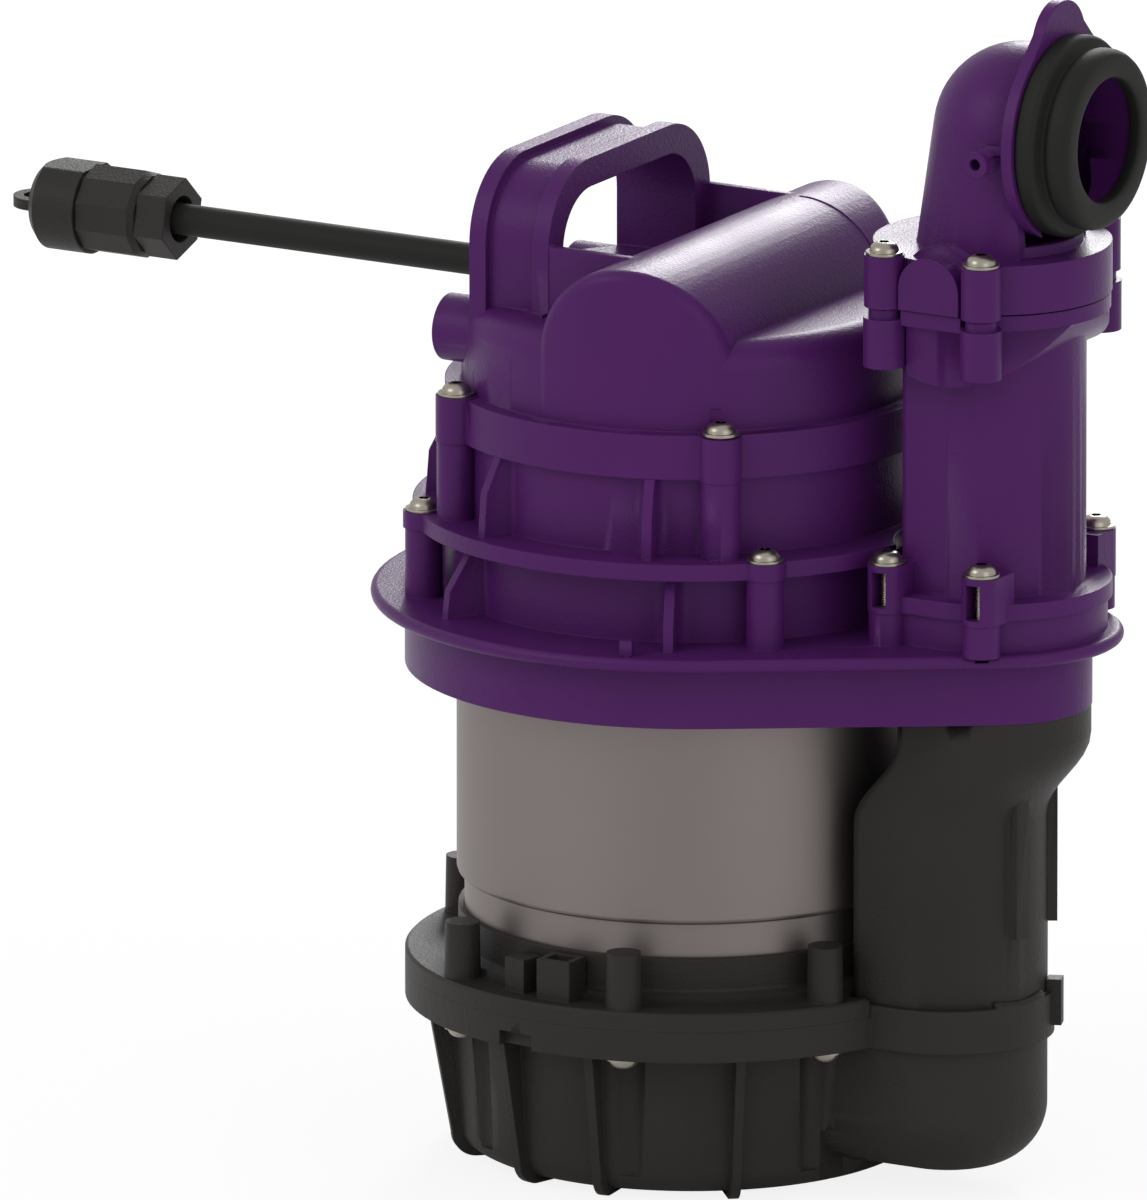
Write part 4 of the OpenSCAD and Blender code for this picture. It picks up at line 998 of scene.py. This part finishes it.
@dataclass
class VoluteTrim:
    """The volute without the foot and the guide that the visible side lacks, in millimetres."""

    wardrobe: Wardrobe
    foot: Pair = (73.44, -28.0)
    foot_r: float = 9.2
    foot_z: Pair = (-4.0, 18.6)
    round_y: float = -11.7
    round_z: float = 25.0
    round_r: float = 20.03
    round_l: float = 80.0
    collar: Pair = (94.0, 0.0)
    collar_r: float = 33.93
    collar_z: Pair = (30.0, 76.0)
    guide_low: Triple = (114.0, -26.0, 40.0)
    guide_high: Triple = (150.0, 4.5, 66.0)

    def build(self, volute: Piece) -> None:
        """Trim a copy of the volute."""
        foot = drum(self.foot, self.foot_r, *self.foot_z, sides=64)
        select_none()
        bpy.ops.mesh.primitive_cylinder_add(
            vertices=192, radius=self.round_r * MM, depth=self.round_l * MM,
            rotation=(0.0, math.pi / 2, 0.0),
            location=(self.foot[0] * MM, self.round_y * MM, self.round_z * MM),
        )
        roll = bpy.context.object
        apply_place(roll)
        cut_with(foot, roll)
        cut_with(volute, foot)
        guide = block(self.guide_low, self.guide_high)
        cut_with(guide, drum(self.collar, self.collar_r, *self.collar_z, sides=160))
        cut_with(volute, guide)
        smooth(volute, WALL_ANGLE)
        weigh(volute)
        self.wardrobe.wear(volute, "black_plastic")
        LOG.info("volute trimmed, %d faces", len(volute.data.polygons))


@dataclass
class ElbowLip:
    """The roof that closes the elbow's neck under the outlet plate, in millimetres."""

    wardrobe: Wardrobe
    neck: Pair = (111.2, 0.0)
    neck_r: float = 27.45
    inner_r: float = 24.4
    low: float = 300.0
    high: float = 312.1
    start_x: float = 131.0
    roof_x: float = 134.2
    through: float = 5.0
    edge_round: float = 0.3

    def build(self, elbow: Piece) -> None:
        """Add the lip to a copy of the elbow."""
        lip = drum(self.neck, self.neck_r, self.low, self.high, sides=96)
        lip = bisected(lip, self.start_x, keep_above=True)
        low, high = self.low - self.through, self.high + self.through
        hollow = drum(self.neck, self.inner_r, low, high, sides=96)
        cut_with(lip, bisected(hollow, self.roof_x, keep_above=False))
        soften(lip, self.edge_round * MM, segments=2)
        self.wardrobe.wear(joined([elbow, lip], elbow.name), "purple_plastic")
        LOG.info("elbow: lip added")


@dataclass(frozen=True)
class ScrewSet:
    """One group of identical screws: its node, seats and direction."""

    node: str
    seat_z: float
    spots: tuple[Pair, ...]
    way: Way = Way.UP


def corner_spots(half_x: float, half_y: float, middle: float = 0.1097) -> tuple[Pair, ...]:
    """Places at the corners of a rectangle about the discharge pipe."""
    return tuple((middle + sx * half_x, sy * half_y) for sx in (-1, 1) for sy in (-1, 1))


@dataclass
class Fasteners:
    """The button-head screws, each with its socket and its thread."""

    wardrobe: Wardrobe
    head_r: float = 0.0059
    head_h: float = 0.0040
    shank_r: float = 0.0021
    thread_r: float = 0.00245
    pitch: float = 0.0008
    socket_af: float = 0.0032
    socket_share: float = 0.95
    socket_turn: float = 0.7
    rim_share: float = 0.25
    crown_share: float = 0.8
    dome: tuple[Pair, ...] = (
        (0.995, 0.36), (0.97, 0.5), (0.9, 0.66), (0.79, 0.8), (0.66, 0.9), (0.52, 0.96), (0.4, 1.0),
    )
    edge_round: float = 0.00012
    tip: float = 0.0005
    run_out: float = 0.0012
    start: float = 0.0007
    sunk: float = 0.0002
    ridge_share: float = 0.92
    crest_share: float = 0.2
    turn_steps: int = 14
    weld: float = 1e-7
    smooth_angle: float = 40.0
    sets: tuple[ScrewSet, ...] = (
        ScrewSet("volute_screws", 0.048, ring_spots(0.0843, (-120, -75, -30, 30, 75, 120, 180)),
                 Way.DOWN),
        ScrewSet("ledge_screws", 0.2104, ring_spots(0.0869, (-139, -44.7, 44.7, 139))),
        ScrewSet("cover_screws", 0.2505, ring_spots(0.0793, (-130.8, -53.6, 53.6, 130.8))),
        ScrewSet("pipe_screws", 0.2085, corner_spots(0.0171, 0.037)),
        ScrewSet("elbow_screws", 0.3096, corner_spots(0.0176, 0.0385)),
    )

    def head(self) -> Piece:
        """Model the flanged button head with its hexagon socket, its seat at height nought."""
        select_none()
        rim = self.rim_share * self.head_h
        crown = self.crown_share * self.head_r
        bpy.ops.mesh.primitive_cylinder_add(vertices=40, radius=self.head_r, depth=rim,
                                            location=(0.0, 0.0, rim / 2))
        piece = bpy.context.object
        apply_place(piece)
        edit(piece, "DESELECT")
        pick_faces(piece, Vector((0.0, 0.0, 1.0)))
        bpy.ops.mesh.inset(thickness=self.head_r - crown)
        draw_on(tuple((crown * r, self.head_h * h) for r, h in self.dome), crown, rim)
        leave_edit()
        bpy.ops.mesh.primitive_cylinder_add(
            vertices=6, radius=self.socket_af / math.sqrt(3.0), depth=self.head_h,
            location=(0.0, 0.0, self.socket_share * self.head_h),
        )
        cut_with(piece, bpy.context.object)
        soften(piece, self.edge_round, segments=2, angle=38.0)
        return piece

    def shank(self, length: float) -> Piece:
        """Model the threaded shank.

        Args:
            length: From the seat to the tip, in metres.

        Returns:
            The shank, hanging from height nought.
        """
        select_none()
        bpy.ops.mesh.primitive_cylinder_add(vertices=24, radius=self.shank_r, depth=length,
                                            location=(0.0, 0.0, -length / 2))
        core = bpy.context.object
        apply_place(core)
        edit(core, "DESELECT")
        pick_faces(core, Vector((0.0, 0.0, -1.0)))
        bpy.ops.mesh.bevel(offset=self.tip, segments=1, affect="EDGES")
        leave_edit()
        depth = self.thread_r - self.shank_r + self.sunk
        bpy.ops.mesh.primitive_plane_add(size=1.0, rotation=(math.pi / 2, 0.0, 0.0))
        ridge = bpy.context.object
        ridge.scale = (depth, self.pitch * self.ridge_share, 1.0)
        ridge.location = (self.thread_r - depth / 2, 0.0, -length + self.start)
        apply_place(ridge)
        edit(ridge, "DESELECT")
        pick(ridge, "verts", lambda vertex: vertex.co.x > self.thread_r - depth / 2)
        bpy.ops.transform.resize(value=(1.0, 1.0, self.crest_share),
                                 center_override=(self.thread_r, 0.0, -length + self.start))
        bpy.ops.mesh.select_all(action="SELECT")
        bpy.ops.mesh.delete(type="ONLY_FACE")
        leave_edit()
        wind = ridge.modifiers.new("thread", "SCREW")
        wind.axis = "Z"
        wind.screw_offset = self.pitch
        wind.iterations = int((length - self.run_out) / self.pitch)
        wind.steps = self.turn_steps
        wind.render_steps = self.turn_steps
        apply_modifiers(ridge)
        edit(ridge)
        bpy.ops.mesh.remove_doubles(threshold=self.weld)
        bpy.ops.mesh.fill_holes(sides=4)
        bpy.ops.mesh.normals_make_consistent(inside=False)
        leave_edit()
        return joined([core, ridge], "shank")

    def build(self) -> None:
        """Model one screw of each length and set a copy in every seat."""
        for group in self.sets:
            low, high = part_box(group.node)
            length = high[2] - low[2] - self.head_h
            model = joined([self.head(), self.shank(length)], "screw_model")
            smooth(model, self.smooth_angle)
            copies = []
            for count, (x, y) in enumerate(group.spots):
                take(model)
                bpy.ops.object.duplicate()
                copy = bpy.context.object
                copy.rotation_euler = (group.way.value, 0.0, self.socket_turn * count)
                copy.location = (x, y, group.seat_z)
                apply_place(copy)
                copies.append(copy)
            remove(model)
            whole = joined(copies, group.node + "_modelled")
            self.wardrobe.wear(whole, "screw_steel")
            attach(whole, Body.PUMP.value)
            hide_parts(group.node)
            LOG.info("%s: %d screws of %.1f mm", group.node, len(copies), length / MM)


@dataclass
class OutletSeal:
    """The moulded rubber seal in the elbow's mouth: main sizes in metres, its profile in millimetres."""

    wardrobe: Wardrobe
    axis_z: float = 0.3456
    face_x: float = 0.1353
    spout_x: float = 0.148
    front_x: float = 0.1523
    inner_r: float = 0.02605
    way_r: float = 0.020
    way_start: float = -0.9
    edge_round: float = 0.00035
    from_face: tuple[Pair, ...] = (
        (31.6, 0.0), (32.3, 0.8), (32.3, 5.4), (31.4, 6.8), (28.6, 7.3), (27.7, 7.9),
        (27.8, 8.9), (28.5, 9.6), (29.0, 10.6), (29.0, 13.4), (28.6, 14.9),
    )
    from_front: tuple[Pair, ...] = ((27.6, -0.5), (26.2, 0.0), (21.8, 0.0), (20.5, -0.25))

    def build(self) -> None:
        """Draw the seal's section round the outlet and round its edges."""
        section = (
            (self.inner_r, self.face_x),
            *((r * MM, self.face_x + x * MM) for r, x in self.from_face),
            *((r * MM, self.front_x + x * MM) for r, x in self.from_front),
            (self.way_r, self.front_x + self.way_start * MM),
            (self.way_r, self.spout_x),
            (self.inner_r, self.spout_x),
        )
        seal = turned_ring("outlet_seal_moulded", section)
        soften(seal, self.edge_round, segments=2, angle=24.0)
        seal.rotation_euler = (0.0, math.pi / 2, 0.0)
        seal.location = (0.0, 0.0, self.axis_z)
        apply_place(seal)
        self.wardrobe.wear(seal, "rubber")
        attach(seal, Body.PUMP.value)
        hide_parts("outlet_seal")
        LOG.info("outlet seal")


@dataclass
class Lead:
    """The lead held straight out as one curve; the plug pieces are gathered but not joined to it."""

    wardrobe: Wardrobe
    y: float = 0.0405
    z: float = 0.267
    radius: float = 0.0051
    start_x: float = -0.062
    end_x: float = -0.226
    mouth_x: float = -0.066
    spans: int = 18

    def cord(self) -> Piece:
        """Draw the lead as one curve along the CAD route."""
        data = bpy.data.curves.new("lead_flex", "CURVE")
        data.dimensions = "3D"
        data.bevel_depth = self.radius
        data.bevel_resolution = 8
        data.use_fill_caps = True
        spline = data.splines.new("POLY")
        span = self.end_x - self.start_x
        steps = [self.start_x + span * i / self.spans for i in range(self.spans + 1)]
        spline.points.add(len(steps) - 1)
        for point, x in zip(spline.points, steps):
            point.co = (x, self.y, self.z, 1.0)
        piece = bpy.data.objects.new("lead_flex", data)
        bpy.context.scene.collection.objects.link(piece)
        data.materials.append(self.wardrobe.materials["rubber"])
        return piece

    def build(self, frame: dict, mouldings: dict[str, Piece]) -> None:
        """Args:
            mouldings: The modelled plug pieces, by node.
        """
        flex = self.cord()
        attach(flex, Body.PUMP.value)
        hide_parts("lead")
        on_it = [mouldings[name] for name in ("plug_nut", "plug_body", "plug_cap")]
        on_it.append(frame["nodes"]["plug_contacts"])


def main() -> None:
    """Load the frame, then build and report each piece in order."""
    logging.basicConfig(level=logging.INFO, format="%(name)s: %(message)s")
    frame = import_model()
    Studio().build()
    wardrobe = Wardrobe(Effects())
    wardrobe.stock()
    wardrobe.dress_frame(frame)
    mouldings = Mouldings(wardrobe)
    mouldings.build(frame)
    Cover(wardrobe).build(mouldings.made["top_cover"])
    ElbowLip(wardrobe).build(mouldings.made["elbow"])
    VoluteTrim(wardrobe).build(mouldings.made["volute"])
    Lead(wardrobe).build(frame, mouldings.made)
    Fasteners(wardrobe).build()
    OutletSeal(wardrobe).build()


if __name__ == "__main__":
    main()
